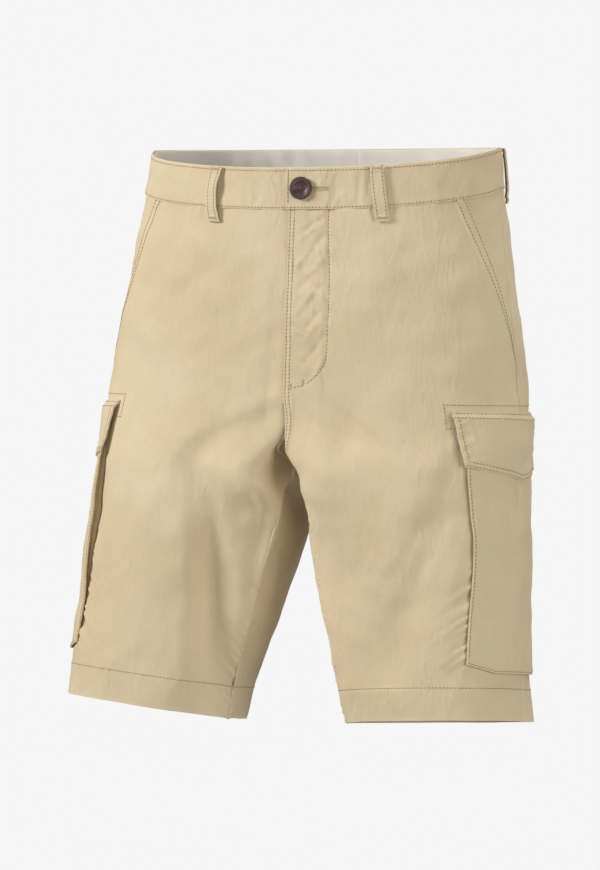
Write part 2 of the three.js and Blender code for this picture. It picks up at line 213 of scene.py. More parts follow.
pocketCreases = table(
    "side arc1 drop1 arc2 drop2 width depth",
    [1, 8, 296, 7, 322, 2.6, -1.8],
    [1, 2, 296, 1, 350, 5.0, 1.0],
    [1, 36, 296, 34, 400, 7.0, -0.9],
    [1, 18, 300, 22, 430, 6.0, -1.3],
    [1, 4, 320, 8, 440, 6.0, 0.9],
    [1, 48, 330, 50, 440, 5.0, -0.8],
    [1, -24, 300, -20, 420, 8.0, -0.5],
    [-1, 38, 300, 40, 420, 6.0, -0.7],
    [-1, 12, 300, 16, 440, 7.0, -0.6],
    [-1, -34, 300, -30, 430, 8.0, -0.6],
)

# Wrinkles along the rows of sewing: how far they reach, how high they stand, how they lean, how
# far apart they are, and the draw that each row starts from.
gathers = {
    "waist": (9, 0.9, 0.3, 7, 0),
    "inseam": (9, 1.6, 0.7, 5.5, 0.5),
    "thigh": (22, 0.4, 1.2, 13, 4.5),
    "centre": (6, 0.3, -0.4, 6, 2.0),
    "sideSeam": (7, 0.4, 0.5, 6.5, 1.1),
    "slant": (4, 0.3, 0.6, 5.5, 0),
    "drag": (13, 1.7, -0.75, 8, 0),
    "dragFine": (8, 1.3, -0.6, 4.6, 2),
    "hem": (9, 0.55, 0.5, 7, 0.9),
    "flyRow": (7, 0.7, -0.6, 6, 0.4),
    "flyEdge": (5, 0.5, 0.5, 5, 1.4),
    "hipPocket": (9, 0.3, 0.8, 11, 0),
    "band": (6, 0.5, 0.7, 6, 0),
    "lining": (7, 0.2, 0.5, 8.5, 0),
    "pocketEdge": (5, 0.35, 0.5, 6, 0),
    "pocketFoot": (6, 0.5, 0.4, 7, 0),
    "flapTop": (9, 0.6, 0.8, 6, 0),
    "flapFoot": (6, 0.5, 0.5, 6.5, 0),
    "flapEdge": (9, 0.8, 0.6, 7, 0),
}


def smooth(t):
    c = np.clip(t, 0, 1)
    return c * c * (3 - 2 * c)


def grow(at, start, over):
    return smooth((at - start) / over)


def fade(at, end, over):
    return smooth((end - at) / over)


def bell(apart, width):
    return np.exp(-((apart / width) ** 2))


def decay(apart, reach):
    return np.exp(-np.maximum(apart, 0) / reach)


def along(rows, key, at):
    x, y = rows["drop"], rows[key]
    span = np.diff(x)
    slope = np.diff(y) / span
    inner = (span[:-1] * slope[1:] + span[1:] * slope[:-1]) / (span[:-1] + span[1:])
    tangent = np.concatenate([slope[:1], inner, slope[-1:]])
    i = np.clip(np.searchsorted(x, at) - 1, 0, len(span) - 1)
    t = (at - x[i]) / span[i]
    start = y[i] * (2 * t**3 - 3 * t**2 + 1) + tangent[i] * span[i] * (t**3 - 2 * t**2 + t)
    return start + y[i + 1] * (3 * t**2 - 2 * t**3) + tangent[i + 1] * span[i] * (t**3 - t**2)


def sectionAt(drop):
    at = np.clip(drop, 0, cut["outseam"])
    s = {key: along(sections, key, at) for key in sections}
    s["out"] = (s["outer"] + s["inner"]) / 2
    s["half"] = (s["outer"] - s["inner"]) / 2
    return s


# At the fork the cloth hangs to the wearer's right, and the left thigh stands clear below it.
forkHang = {"right": 7, "at": 277, "over": 20, "clear": 8, "clearAt": 320, "clearOver": 24}


def forkSway(side, drop):
    sway = -forkHang["right"] * bell(drop - forkHang["at"], forkHang["over"])
    if side > 0:
        sway = sway + forkHang["clear"] * bell(drop - forkHang["clearAt"], forkHang["clearOver"])
    return sway


# A point of the smooth cloth, before its folds. angle is below 0 in front and above 0 behind.
def smoothPoint(side, drop, angle):
    s = sectionAt(drop)
    ahead = np.sin(angle) < 0
    inward = np.maximum(0, -np.cos(angle))
    depth = np.where(ahead, s["front"] * (1 + s["corner"] * inward**2), s["back"])
    lift = np.where(ahead, s["frontLift"], s["backLift"]) * np.abs(np.sin(angle))
    leg = grow(drop, cut["crotch"], cut["outseam"] - cut["crotch"])
    x = s["out"] + s["half"] * np.cos(angle) - side * cut["swing"] * leg
    x = x + side * forkSway(side, drop) * inward**2
    tilt = s["outerLift"] - side * cut["swingTilt"] * leg
    y = depth * np.sin(angle) - s["ahead"]
    return np.stack([side * x, y, lift + tilt * np.cos(angle) - drop], -1)


def smoothNormal(side, drop, angle):
    turn, step = 0.01, 1.0
    across = smoothPoint(side, drop, angle + turn) - smoothPoint(side, drop, angle - turn)
    down = smoothPoint(side, drop + step, angle) - smoothPoint(side, drop - step, angle)
    normal = np.cross(down, across) * side
    return normal / np.linalg.norm(normal, axis=-1, keepdims=True)


# Tables from arc to angle and back, read by straight interpolation.
dropStep, arcStep = 1.5, 2.0
dropMarks = np.arange(0, cut["outseam"] + dropStep, dropStep)
angleMarks = np.radians(np.arange(-215, 216))
arcMarks = np.arange(-440, 341, arcStep)
ringPoints = smoothPoint(1, *np.meshgrid(dropMarks, angleMarks, indexing="ij"))
ringSteps = np.linalg.norm(np.diff(ringPoints, axis=1), axis=2)
ringLengths = np.concatenate([np.zeros((len(dropMarks), 1)), np.cumsum(ringSteps, 1)], 1)
seamAngles = np.radians(sectionAt(dropMarks)["side"])
seamLengths = np.array([np.interp(a, angleMarks, r) for a, r in zip(seamAngles, ringLengths)])
arcTable = seamLengths[:, None] - ringLengths
angleTable = np.stack([np.interp(-arcMarks, -row, angleMarks) for row in arcTable])


def readTable(grid, drop, across, first, step):
    i = np.clip(drop / dropStep, 0, grid.shape[0] - 1.001)
    j = np.clip((across - first) / step, 0, grid.shape[1] - 1.001)
    i0, j0 = i.astype(int), j.astype(int)
    a, b = i - i0, j - j0
    upper = grid[i0, j0] * (1 - b) + grid[i0, j0 + 1] * b
    lower = grid[i0 + 1, j0] * (1 - b) + grid[i0 + 1, j0 + 1] * b
    return upper * (1 - a) + lower * a


def angleAt(drop, arc):
    drop, arc = np.broadcast_arrays(np.asarray(drop, float), np.asarray(arc, float))
    return readTable(angleTable, drop, arc, arcMarks[0], arcStep)


def arcAt(drop, angle):
    drop, angle = np.broadcast_arrays(np.asarray(drop, float), np.asarray(angle, float))
    return readTable(arcTable, drop, angle, angleMarks[0], math.radians(1))


# Where a panel ends inside: at the centre plane, and below the crotch at the inseam.
def innerArc(drop, face):
    s = sectionAt(drop)
    cosine = np.clip(s["out"] / s["half"], -1, 1)
    centre = face * (math.pi - np.arccos(cosine))
    inseam = np.radians(s["inseam"]) + face * math.pi
    return arcAt(drop, np.where(drop > cut["crotch"], inseam, centre))


def slantCut(drop):
    share = np.maximum(0, slant["end"] - drop) / (slant["end"] - cut["bandDepth"])
    return slant["cut"] * share**2


# Height of a table of folds, each a soft ridge or trough that dies away at its ends.
def foldHeight(rows, side, across, drop):
    fading = 0.3
    height = np.zeros(np.broadcast(across, drop).shape)
    for i in np.flatnonzero(rows["side"] == side):
        run = np.array([rows["arc2"][i] - rows["arc1"][i], rows["drop2"][i] - rows["drop1"][i]])
        length = np.hypot(*run)
        x = across - rows["arc1"][i]
        y = drop - rows["drop1"][i]
        share = (x * run[0] + y * run[1]) / length**2
        apart = (x * run[1] - y * run[0]) / length
        ends = smooth(share / fading + fading) * smooth((1 - share) / fading + fading)
        height += rows["depth"][i] * ends * bell(apart, rows["width"][i])
    return height


# Irregular soft waves, a sum of plane waves with fixed draws.
def waves(x, y, size, seed, count=14):
    draw = np.random.default_rng(seed)
    total = np.zeros(np.broadcast(x, y).shape)
    for _ in range(count):
        heading = draw.uniform(0, math.pi)
        pitch = size * draw.uniform(0.7, 1.5)
        phase = draw.uniform(0, 2 * math.pi)
        total += np.sin(2 * math.pi * (x * math.cos(heading) + y * math.sin(heading)) / pitch + phase)
    return total / math.sqrt(count / 2)


# A number from 0 to 1 for each whole number, the same on every run.
def chance(number, draw):
    turned = np.sin(number * 12.9898 + draw * 78.233) * 43758.5453
    return turned - np.floor(turned)


# Short wrinkles along a line of sewing, each of its own depth and reach; some turn inward.
def gather(name, apart, run, draw, share=1.0):
    reach, height, lean, pitch, start = gathers[name]
    draw = draw + start
    at = (run + lean * apart) / pitch
    beat = at + 0.3 * np.sin(0.9 * at + 2 * draw) + 0.35 * np.sin(0.23 * at + draw)
    number = np.round(beat)
    crest = (1 - 2 * np.abs(beat - number)) ** 1.3
    strength = 0.25 + 0.95 * chance(number, draw)
    strength *= np.where(chance(number, draw + 3) > 0.78, -0.7, 1)
    own = reach * (0.45 + 1.1 * chance(number, draw + 5))
    return height * share * strength * crest * np.exp(-np.abs(apart) / own)


# Crisp creases that run one way, pitch apart, bent and broken off by slow waves.
def crinkle(x, y, heading, pitch, draw):
    turn = math.radians(heading)
    run = x * math.cos(turn) + y * math.sin(turn)
    apart = y * math.cos(turn) - x * math.sin(turn)
    beat = apart / pitch + 0.45 * waves(x, y, pitch * 5, draw, 9)
    crest = (1 - 2 * np.abs(beat - np.round(beat))) ** 1.5
    return crest * smooth(0.4 + 0.55 * waves(run * 0.45, apart, pitch * 3, draw + 1, 9))


def groove(apart, depth=0.22, width=0.85):
    return -depth * bell(apart, width)


def seamTuck(apart):
    return -cut["tuck"] * bell(np.maximum(apart, 0), cut["tuckWidth"])


# The loose cloth's own unevenness, and the deep fold between the thighs, sharper than the rest.
drape = {
    "free": (30, 50),            # the drop where it begins, and over what length
    "slow": (78, 0.6),           # size and height of its soft waves
    "quick": (30, 0.2),
    "crease": 0.32, "heading": 84, "pitch": 17, "patch": 120,
    "byInseam": (10, 14),        # creases stop short of the inseam
}
forkFold = {"from": 244, "full": 280, "end": 345, "depth": 11, "width": {1: 3, -1: 7}}


# All folds and creases that run on over the cloth, whatever piece they cross.
def foldsAt(side, drop, arc):
    angle = angleAt(drop, arc)
    height = foldHeight(folds, side, angle * legRadius, drop)
    fromInseam = np.abs(innerArc(drop, np.where(arc > 0, -1, 1)) - arc)
    high, wide = drape["byInseam"]
    kept = 1 - grow(drop, cut["crotch"], high) * (1 - smooth(fromInseam / wide))
    height += kept * foldHeight(creases, side, arc, drop)
    free = grow(drop, *drape["free"])
    for (size, high), seed in ((drape["slow"], 11), (drape["quick"], 21)):
        height += free * high * waves(arc, drop, size, seed + side)
    crisp = crinkle(arc, drop, drape["heading"] * side, drape["pitch"], 101 + side)
    height += free * drape["crease"] * crisp * smooth(0.5 + waves(arc, drop, drape["patch"], 105))
    return height + crotchFold(side, drop, angle)


def crotchFold(side, drop, angle):
    reach = np.abs(smoothPoint(side, drop, angle)[..., 0] - forkSway(side, drop))
    grown = grow(drop, forkFold["from"], forkFold["full"] - forkFold["from"])
    faded = fade(drop, forkFold["end"], forkFold["end"] - forkFold["full"])
    valley = -forkFold["depth"] * np.exp(-reach / forkFold["width"][side])
    return np.where(np.sin(angle) < 0.3, grown * faded * valley, 0)


# A point of the cloth and its normal, at a height over the smooth form.
def onCloth(side, drop, arc, height):
    angle = angleAt(drop, arc)
    normal = smoothNormal(side, drop, angle)
    return smoothPoint(side, drop, angle) + normal * height[..., None], normal


# Places along a length, close together near the marks and wider between them.
def spread(length, marks, fine, coarse, reach=2.4, zones=()):
    s = np.linspace(0, length, 4000)
    density = np.full(len(s), 1 / coarse)
    for start, end, step in zones:
        density += grow(s, start - 3, 3) * fade(s, end + 3, 3) * (1 / step - 1 / coarse)
    for mark in marks:
        density += (1 / fine - 1 / coarse) * np.exp(-(((s - mark) / reach) ** 4))
    density = np.minimum(density, 1 / fine)
    total = np.concatenate([[0], np.cumsum((density[1:] + density[:-1]) / 2 * np.diff(s))])
    count = max(2, int(math.ceil(total[-1])))
    return np.interp(np.linspace(0, total[-1], count + 1), total, s)


# Shader maths: wraps a socket so that nodes can be written as expressions.
class Wire:
    def __init__(self, tree, socket):
        self.tree, self.socket = tree, socket

    def node(self, kind, settings=None, inputs=None, output=0):
        made = self.tree.nodes.new(kind)
        for name, value in (settings or {}).items():
            setattr(made, name, value)
        for name, value in (inputs or {}).items():
            if isinstance(value, Wire):
                self.tree.links.new(value.socket, made.inputs[name])
            else:
                made.inputs[name].default_value = value
        return Wire(self.tree, made.outputs[output])

    def math(self, operation, *values):
        return self.node("ShaderNodeMath", {"operation": operation}, dict(enumerate(values)))

    def __add__(self, other):
        return self.math("ADD", self, other)

    def __radd__(self, other):
        return self.math("ADD", other, self)

    def __sub__(self, other):
        return self.math("SUBTRACT", self, other)

    def __rsub__(self, other):
        return self.math("SUBTRACT", other, self)

    def __mul__(self, other):
        return self.math("MULTIPLY", self, other)

    def __rmul__(self, other):
        return self.math("MULTIPLY", other, self)

    def __pow__(self, other):
        return self.math("POWER", self, other)

    def __abs__(self):
        return self.math("ABSOLUTE", self)

    def sin(self):
        return self.math("SINE", self)

    def clamp(self):
        return self.node("ShaderNodeClamp", {}, {"Value": self})

    def noise(self, scale, detail, rough):
        inputs = {"Vector": self, "Scale": scale, "Detail": detail, "Roughness": rough}
        return self.node("ShaderNodeTexNoise", {}, inputs)

    def mapped(self, scale, turn=(0, 0, 0)):
        return self.node("ShaderNodeMapping", {}, {"Vector": self, "Scale": scale, "Rotation": turn})

    def mix(self, other, factor, blend="MIX"):
        sockets = {0: factor, 6: self, 7: other}
        return self.node("ShaderNodeMix", {"data_type": "RGBA", "blend_type": blend}, sockets, 2)

    # Mixes in a colour, by how far this noise stands above a level.
    def tinted(self, colour, pattern, level, gain):
        return self.mix(linear(*colour), ((pattern - level) * gain).clamp())

    def feed(self, shader, name):
        self.tree.links.new(self.socket, shader.inputs[name])

    def bump(self, shader):
        made = self.node("ShaderNodeBump", {}, {"Height": self, "Distance": 1.0, "Strength": 1.0})
        made.feed(shader, "Normal")


def linear(red, green, blue):
    def one(value):
        c = value / 255
        return c / 12.92 if c <= 0.04045 else ((c + 0.055) / 1.055) ** 2.4
    return (one(red), one(green), one(blue), 1)


def wire(tree, kind, output):
    return Wire(tree, tree.nodes.new(kind).outputs[output])


def colourWire(tree, colour):
    made = wire(tree, "ShaderNodeRGB", 0)
    made.socket.default_value = colour
    return made


def attribute(tree, name):
    made = tree.nodes.new("ShaderNodeAttribute")
    made.attribute_name = name
    return Wire(tree, made.outputs["Fac"])


def newMaterial(name, roughness, sheen=0.0, specular=0.5):
    material = bpy.data.materials.new(name)
    material.use_nodes = True
    tree = material.node_tree
    shader = tree.nodes["Principled BSDF"]
    shader.inputs["Roughness"].default_value = roughness
    shader.inputs["Sheen Weight"].default_value = sheen
    shader.inputs["Specular IOR Level"].default_value = specular
    return material, tree, shader, wire(tree, "ShaderNodeTexCoord", "Object")


# Cotton twill: two near shades by broad patches, yarn streaks both ways, a fine diagonal rib,
# and paler edges where the cloth is folded, partly wear and partly a painted highlight. A noise has a scale,
# detail and roughness.
cottonLook = {
    "light": (224, 206, 173), "dark": (211, 191, 154), "warm": (222, 199, 163), "wearAndHighlight": (231, 215, 186),
    "patches": (9, 3, 0.55), "spots": (60, 3, 0.6), "crumples": (130, 4, 0.62), "lines": (3, 0.5),
    "warp": (2600, 90, 1), "weft": (110, 2400, 1), "streaks": (1, 2, 0.6), "streakShare": 0.35,
    "ribPitch": 0.62 * mm, "ribTurn": 62, "ribDepth": 0.05 * mm, "yarnDepth": 0.06 * mm,
    "crumpleDepth": 0.2 * mm,
    "creases": ((46, 0.15, 0.3 * mm), (80, -0.35, 0.18 * mm)),       # scale, turn and depth
    "creaseStretch": (1, 1, 0.42), "creaseEdge": 5, "creaseSharp": 2.5,
}


def cottonMaterial():
    look = cottonLook
    material, tree, shader, body = newMaterial("cotton twill", 0.86, sheen=0.12, specular=0.25)
    place = wire(tree, "ShaderNodeTexCoord", "UV")
    patches = body.noise(*look["patches"])
    spots = body.noise(*look["spots"])
    warp = place.mapped(look["warp"]).noise(*look["streaks"])
    weft = place.mapped(look["weft"]).noise(*look["streaks"])
    yarn = warp * 0.5 + weft * 0.5
    colour = colourWire(tree, linear(*look["light"])).tinted(look["dark"], patches, 0.36, 2.4)
    colour = colour.tinted(look["warm"], spots, 0.5, 1.6)
    shade = ((yarn - 0.5) * 0.5 + 0.5).clamp()
    grey = shade.node("ShaderNodeCombineColor", {}, {0: shade, 1: shade, 2: shade})
    colour = colour.mix(grey, look["streakShare"], "OVERLAY")
    # paler folded edges: part wear, part a painted highlight on the folds
    colour = colour.mix(linear(*look["wearAndHighlight"]), attribute(tree, "wearAndHighlight") * (0.35 + spots * 0.5))
    colour.feed(shader, "Base Color")
    turned = place.mapped((1, 1, 1), (0, 0, math.radians(look["ribTurn"])))
    rib = turned.node("ShaderNodeSeparateXYZ", {}, {0: turned})
    rib = (rib * (2 * math.pi / look["ribPitch"]) + yarn * 3).sin()
    height = rib * look["ribDepth"] + (yarn - 0.5) * (2 * look["yarnDepth"])
    height = height + body.noise(*look["crumples"]) * look["crumpleDepth"]
    for scale, turn, deep in look["creases"]:
        lines = body.mapped(look["creaseStretch"], (0, turn, 0)).noise(scale, *look["lines"])
        ridge = 1 - abs(lines - 0.5) * look["creaseEdge"]
        height = height + ridge.clamp() ** look["creaseSharp"] * deep
    height.bump(shader)
    (0.82 + spots * 0.12).feed(shader, "Roughness")
    return material


liningLook = {"light": (232, 228, 221), "patch": (219, 214, 205), "yarn": (204, 198, 188),
              "weaveDepth": 0.12 * mm, "crumpleDepth": 0.2 * mm}


def liningMaterial():
    look = liningLook
    material, tree, shader, body = newMaterial("lining cotton", 0.8, sheen=0.1, specular=0.3)
    place = wire(tree, "ShaderNodeTexCoord", "UV")
    warp = place.mapped((1800, 140, 1)).noise(1, 2, 0.6)
    weft = place.mapped((140, 1800, 1)).noise(1, 2, 0.6)
    weave = warp * 0.5 + weft * 0.5
    colour = colourWire(tree, linear(*look["light"])).tinted(look["patch"], body.noise(25, 3, 0.5), 0.4, 2)
    colour.tinted(look["yarn"], weave, 0.5, 1.5).feed(shader, "Base Color")
    (weave * look["weaveDepth"] + body.noise(110, 3, 0.6) * look["crumpleDepth"]).bump(shader)
    return material


# hole is a painted shade: the colour of shadowed needle holes, stitch ends and the button thread
threadLook = {"light": (222, 204, 168), "dark": (200, 181, 143), "hole": (112, 90, 58), "depth": 0.08 * mm}


def threadMaterial():
    look = threadLook
    material, tree, shader, body = newMaterial("sewing thread", 0.6, sheen=0.1, specular=0.35)
    colour = colourWire(tree, linear(*look["light"])).tinted(look["dark"], body.noise(900, 2, 0.6), 0.42, 2.5)
    # painted shade mixed in by its share: needle-hole barrels, stitch ends, button thread
    colour.mix(linear(*look["hole"]), attribute(tree, "dip")).feed(shader, "Base Color")
    (body.noise(3500, 1, 0.5) * look["depth"]).bump(shader)
    return material


hornLook = {"brown": (70, 48, 46), "light": (102, 76, 70), "dark": (44, 30, 30), "depth": 0.03 * mm}


def hornMaterial():
    look = hornLook
    material, tree, shader, body = newMaterial("button horn", 0.34)
    shader.inputs["Coat Weight"].default_value = 0.15
    grain = body.mapped((1, 1, 4)).noise(260, 4, 0.6)
    colour = colourWire(tree, linear(*look["brown"])).tinted(look["light"], grain, 0.45, 3)
    colour.tinted(look["dark"], body.noise(120, 2, 0.5), 0.52, 2.5).feed(shader, "Base Color")
    (0.3 + grain * 0.14).feed(shader, "Roughness")
    (grain * look["depth"]).bump(shader)
    return material


finishes = {"cotton": cottonMaterial(), "lining": liningMaterial()}
thread = threadMaterial()
horn = hornMaterial()


def selectNone():
    if bpy.context.mode != "OBJECT":
        bpy.ops.object.mode_set(mode="OBJECT")
    bpy.ops.object.select_all(action="DESELECT")


def onlySelect(piece):
    selectNone()
    piece.select_set(True)
    bpy.context.view_layer.objects.active = piece


def read(data, name, width, kind=float):
    values = np.empty(len(data) * width, dtype=kind)
    data.foreach_get(name, values)
    return values.reshape(-1, width) if width > 1 else values


def camel(node):
    first, *rest = node.split("_")
    return first + "".join(word.capitalize() for word in rest)


# A grid whose corners are moved to the cloth's places. shape takes places across and down, and
# gives points in millimetres, normals, the pattern's two directions and the share of paler edge, partly wear
# and partly a painted highlight.
def layGrid(name, across, down, shape):
    selectNone()
    columns, rows = len(across) - 1, len(down) - 1
    bpy.ops.mesh.primitive_grid_add(x_subdivisions=columns, y_subdivisions=rows, size=1, location=(0, 0, 0))
    piece = bpy.context.active_object
    piece.name = piece.data.name = name
    mesh = piece.data
    corners = read(mesh.vertices, "co", 3)
    i = np.rint((0.5 - corners[:, 1]) * rows).astype(int)
    j = np.rint((corners[:, 0] + 0.5) * columns).astype(int)
    point, normal, u, v, wearAndHighlight = shape(across[j], down[i])
    mesh.vertices.foreach_set("co", (point * mm).ravel())
    pattern = np.stack([u, -v], -1) * mm
    loops = read(mesh.loops, "vertex_index", 1, np.int32)
    if not mesh.uv_layers:
        mesh.uv_layers.new(name="cut")
    mesh.uv_layers[0].data.foreach_set("uv", pattern[loops].astype(np.float32).ravel())
    # the share of paler edge: worn, and partly a painted highlight
    wearAndHighlightLayer = mesh.attributes.new("wearAndHighlight", "FLOAT", "POINT")
    wearAndHighlightLayer.data.foreach_set("value", wearAndHighlight.astype(np.float32))
    mesh.update()
    middle = len(mesh.polygons) // 2 + columns // 2
    outward = read(mesh.polygons, "normal", 3)[middle]
    if np.dot(outward, normal[mesh.polygons[middle].vertices[0]]) < 0:
        bpy.ops.object.mode_set(mode="EDIT")
        bpy.ops.mesh.select_all(action="SELECT")
        bpy.ops.mesh.flip_normals()
        bpy.ops.object.mode_set(mode="OBJECT")
    return piece, v


# A sheet of cloth with a wall inward and rounded edges, painted paler by wear and a highlight, which stands
# for the CAD nodes of its name.
# thick gives the share of the wall at each place down.
def clothSheet(node, across, down, shape, wall, flat, area=None, slot="cotton", edge=0.35,
               thick=None, more=()):
    piece, v = layGrid(camel(node), across, down, shape)
    solid = piece.modifiers.new("wall", "SOLIDIFY")
    solid.thickness = wall * mm
    solid.offset = -1
    if thick:
        group = piece.vertex_groups.new(name="thick")
        levels = thick(v)
        for level in np.unique(levels):
            group.add(np.flatnonzero(levels == level).tolist(), float(level), "REPLACE")
        solid.vertex_group = "thick"
    if edge:
        rounded = piece.modifiers.new("edge", "BEVEL")
        rounded.width = edge * mm
        rounded.segments = 2
        rounded.limit_method = "ANGLE"
        rounded.angle_limit = math.radians(55)
    onlySelect(piece)
    for modifier in list(piece.modifiers):
        bpy.ops.object.modifier_apply(modifier=modifier.name)
    bpy.ops.object.shade_smooth_by_angle(angle=math.radians(50))
    piece.data.materials.clear()
    piece.data.materials.append(finishes[slot])
    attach(piece, "root")
    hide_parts(node, *more)
    print(piece.name, len(piece.data.polygons), "faces")


# Where the right thigh's cloth falls in beside its inseam, by drop, and easing off to the hem.
thighFall = {
    "depth": 13, "hangs": (276, 90), "eases": (440, 60), "easing": 0.6,
    "frontArc": 132, "frontSlope": 0.3, "frontFrom": 330, "frontOver": 56, "clear": 16,
    "backShare": 0.4, "backReach": 18,
}
# The turned corner of cloth at the inseam: how high it stands and how far it runs out, by side and face.
inseamCorner = {
    "size": {(-1, -1): (5, 26), (-1, 1): (5, 12), (1, -1): (1.5, 24), (1, 1): (1.5, 14)},
    "rises": (290, 34), "easing": 0.5,
    "gathered": (0.45, 0.75, 0.5), "gathers": (300, 80), "calm": (360, 26),
    "tuckFrom": -15, "tuckOver": 14, "gatherFrom": 7, "gatherOver": 16, "centreEnd": 266,
}
panelEdge = {
    "step": 0.8,                                 # the panel's edge under the waistband
    "drawn": 1.2, "drawnAbove": (253, 40), "drawnBack": 2.2, "drawnReach": 5,    # side seam at the hips
    "dragFrom": (330, 60), "dragEnd": (472, 16), "dragNear": (-7, 6),    # beside the cargo pocket
    "hemStep": 0.3, "hemCrease": 0.35, "hemWave": 0.5,
    # how far the paler hem fold reaches: wear and a painted highlight
    "wearAndHighlightHem": 1.5,
}


# Height of a leg panel over the smooth cloth, with all that sewing does to it.
def panelHeight(side, face, drop, arc):
    fromInner = face * (arc - innerArc(drop, face))
    height = foldsAt(side, drop, arc)
    draw = 1.3 * side + 0.7 * face
    height += gather("waist", drop - cut["bandDepth"], arc, draw)
    height -= panelEdge["step"] * fade(drop, cut["bandDepth"] + panelEdge["step"], 1)
    below = grow(drop, cut["crotch"] + inseamCorner["tuckFrom"], inseamCorner["tuckOver"])
    height += inseamHeight(side, face, drop, arc, fromInner, draw)
    height += outerHeight(side, face, drop, arc, draw)
    if face < 0:
        height += frontEdge(side, drop, fromInner, arc, below) + dragHeight(side, drop, arc, draw)
    else:
        height += seamTuck(fromInner)
    if face > 0 and side > 0:
        height += (lapRidge(fromInner) + rowGrooves(fromInner, fly["rows"])) * (1 - below)
    return height + hemHeight(side, drop, arc, draw)


# Below the crotch the corner is drawn together by its thread, and above it the centre seam is.
def inseamHeight(side, face, drop, arc, fromInner, draw):
    ease = grow(drop, *thighFall["eases"])
    high, reach = inseamCorner["size"][side, face]
    corner = high * grow(drop, *inseamCorner["rises"]) * (1 - inseamCorner["easing"] * ease)
    height = corner * decay(fromInner, reach)
    if side < 0:
        hung = grow(drop, *thighFall["hangs"]) * (1 - thighFall["easing"] * ease)
        height -= thighFall["depth"] * hung * thighFallShare(face, drop, arc, fromInner)
    gathering = grow(drop, cut["crotch"] + inseamCorner["gatherFrom"], inseamCorner["gatherOver"])
    least, more, calm = inseamCorner["gathered"]
    at, over = inseamCorner["calm"]
    gathered = least + more * grow(drop, *inseamCorner["gathers"]) - calm * bell(drop - at, over)
    height += gathering * gather("inseam", fromInner, drop, draw, gathered)
    height += gathering * gather("thigh", fromInner, drop, draw, gathered)
    return height + fade(drop, inseamCorner["centreEnd"], 10) * gather("centre", fromInner, drop, draw)


def thighFallShare(face, drop, arc, fromInner):
    if face > 0:
        away = np.maximum(fromInner, 0) / thighFall["backReach"]
        return thighFall["backShare"] * away * np.exp(1 - away)
    start = thighFall["frontArc"] + thighFall["frontSlope"] * (drop - thighFall["frontFrom"])
    return grow(arc, start, thighFall["frontOver"]) * (1 - decay(fromInner, thighFall["clear"]))


# The side seam, drawn deeper at the hips, and the slanted pocket's edge with its two rows.
def outerHeight(side, face, drop, arc, draw):
    fromOuter = arc - slantCut(drop) if face < 0 else -arc
    mouth = fade(drop, slant["end"], slant["closes"]) if face < 0 else 0
    drawn = panelEdge["drawn"] * fade(drop, *panelEdge["drawnAbove"])
    height = (1 - mouth) * ((1 + drawn) * seamTuck(fromOuter) + gather("sideSeam", fromOuter, drop, draw))
    if face > 0:
        return height - panelEdge["drawnBack"] * drawn * decay(fromOuter, panelEdge["drawnReach"])
    second = secondRow(drop)
    high, wide = slant["welt"]
    rise = slant["proud"] * (1 - grow(fromOuter, second, 3))
    rise += high * bell(fromOuter - (second + slant["row"]) / 2, wide)
    rise += rowGrooves(fromOuter, (slant["row"], second))
    return height + mouth * (slant["show"][side] * rise + gather("slant", fromOuter - second, drop, draw))


def rowGrooves(apart, rows):
    return sum(groove(apart - row) for row in rows)


def secondRow(drop):
    return slant["row"] + (slant["secondRow"] - slant["row"]) * fade(drop, slant["end"] + 4, 150)


# Drag lines beside the cargo pocket.
def dragHeight(side, drop, arc, draw):
    apart = arc - pocketOnLeg(side, drop, pocket["half"])
    near = grow(drop, *panelEdge["dragFrom"]) * fade(drop, *panelEdge["dragEnd"])
    near = near * grow(apart, *panelEdge["dragNear"])
    return near * (gather("drag", apart, drop, draw) + gather("dragFine", apart, drop, draw))


# The hem: a second layer, drawn up by its row of stitches.
def hemHeight(side, drop, arc, draw):
    below = drop - hemTop
    soft = panelEdge["hemCrease"] * crinkle(arc, drop, 62, 9, 131 + side)
    soft += panelEdge["hemWave"] * waves(arc, drop * 0.1, 55, 41 + side, 7)
    height = panelEdge["hemStep"] * grow(below, -1.2, 1.6) + grow(below, -3, 6) * soft
    return height + gather("hem", below, arc, draw) + groove(below)


flyCloth = {
    "closes": (14, 24), "shoulder": 6, "edge": (5, 3), "inside": (-1, 4), "past": (3, 5), "sink": 0.5,
    "wrinkle": 1.5,
    "crisp": ((-52, 7.5, 113, 0.75), (-64, 11, 117, -0.4125)),    # heading, pitch, draw, height
    "over": (246, 30), "widens": (40, 90), "groove": (0.45, 1.1),
}


# The front's inner edge. On the left it laps over the right, held by the fly's rounded row.
def frontEdge(side, drop, fromInner, arc, below):
    lapped = 1 - below
    height = below * seamTuck(fromInner)
    if side < 0:
        return height - lapped * flyCloth["sink"] * fade(fromInner, 5, 5)
    closes, over = flyCloth["closes"]
    flyShare = fade(drop, fly["end"] + closes, over)
    width = flyWidth(drop)
    plateau = 1 - grow(fromInner, width - flyCloth["shoulder"], flyCloth["shoulder"])
    narrow = 1 - grow(fromInner, *flyCloth["edge"])
    height += lapped * fly["lap"] * (flyShare * plateau + (1 - flyShare) * narrow)
    past, over = flyCloth["past"]
    inside = flyShare * grow(fromInner, *flyCloth["inside"]) * fade(fromInner, width + past, over)
    wrinkles = foldHeight(flyWrinkles, side, arc, drop)
    for heading, pitch, draw, high in flyCloth["crisp"]:
        wrinkles += high * crinkle(arc, drop, heading, pitch, draw)
    height += inside * flyCloth["wrinkle"] * wrinkles
    height += lapped * gather("flyRow", fromInner - width, drop, 0, flyShare)
    height += lapped * gather("flyEdge", fromInner, drop, 0)
    height += lapped * rowGrooves(fromInner + flyOver(drop), fly["rows"])
    return height + flyStitchGroove(drop, fromInner)


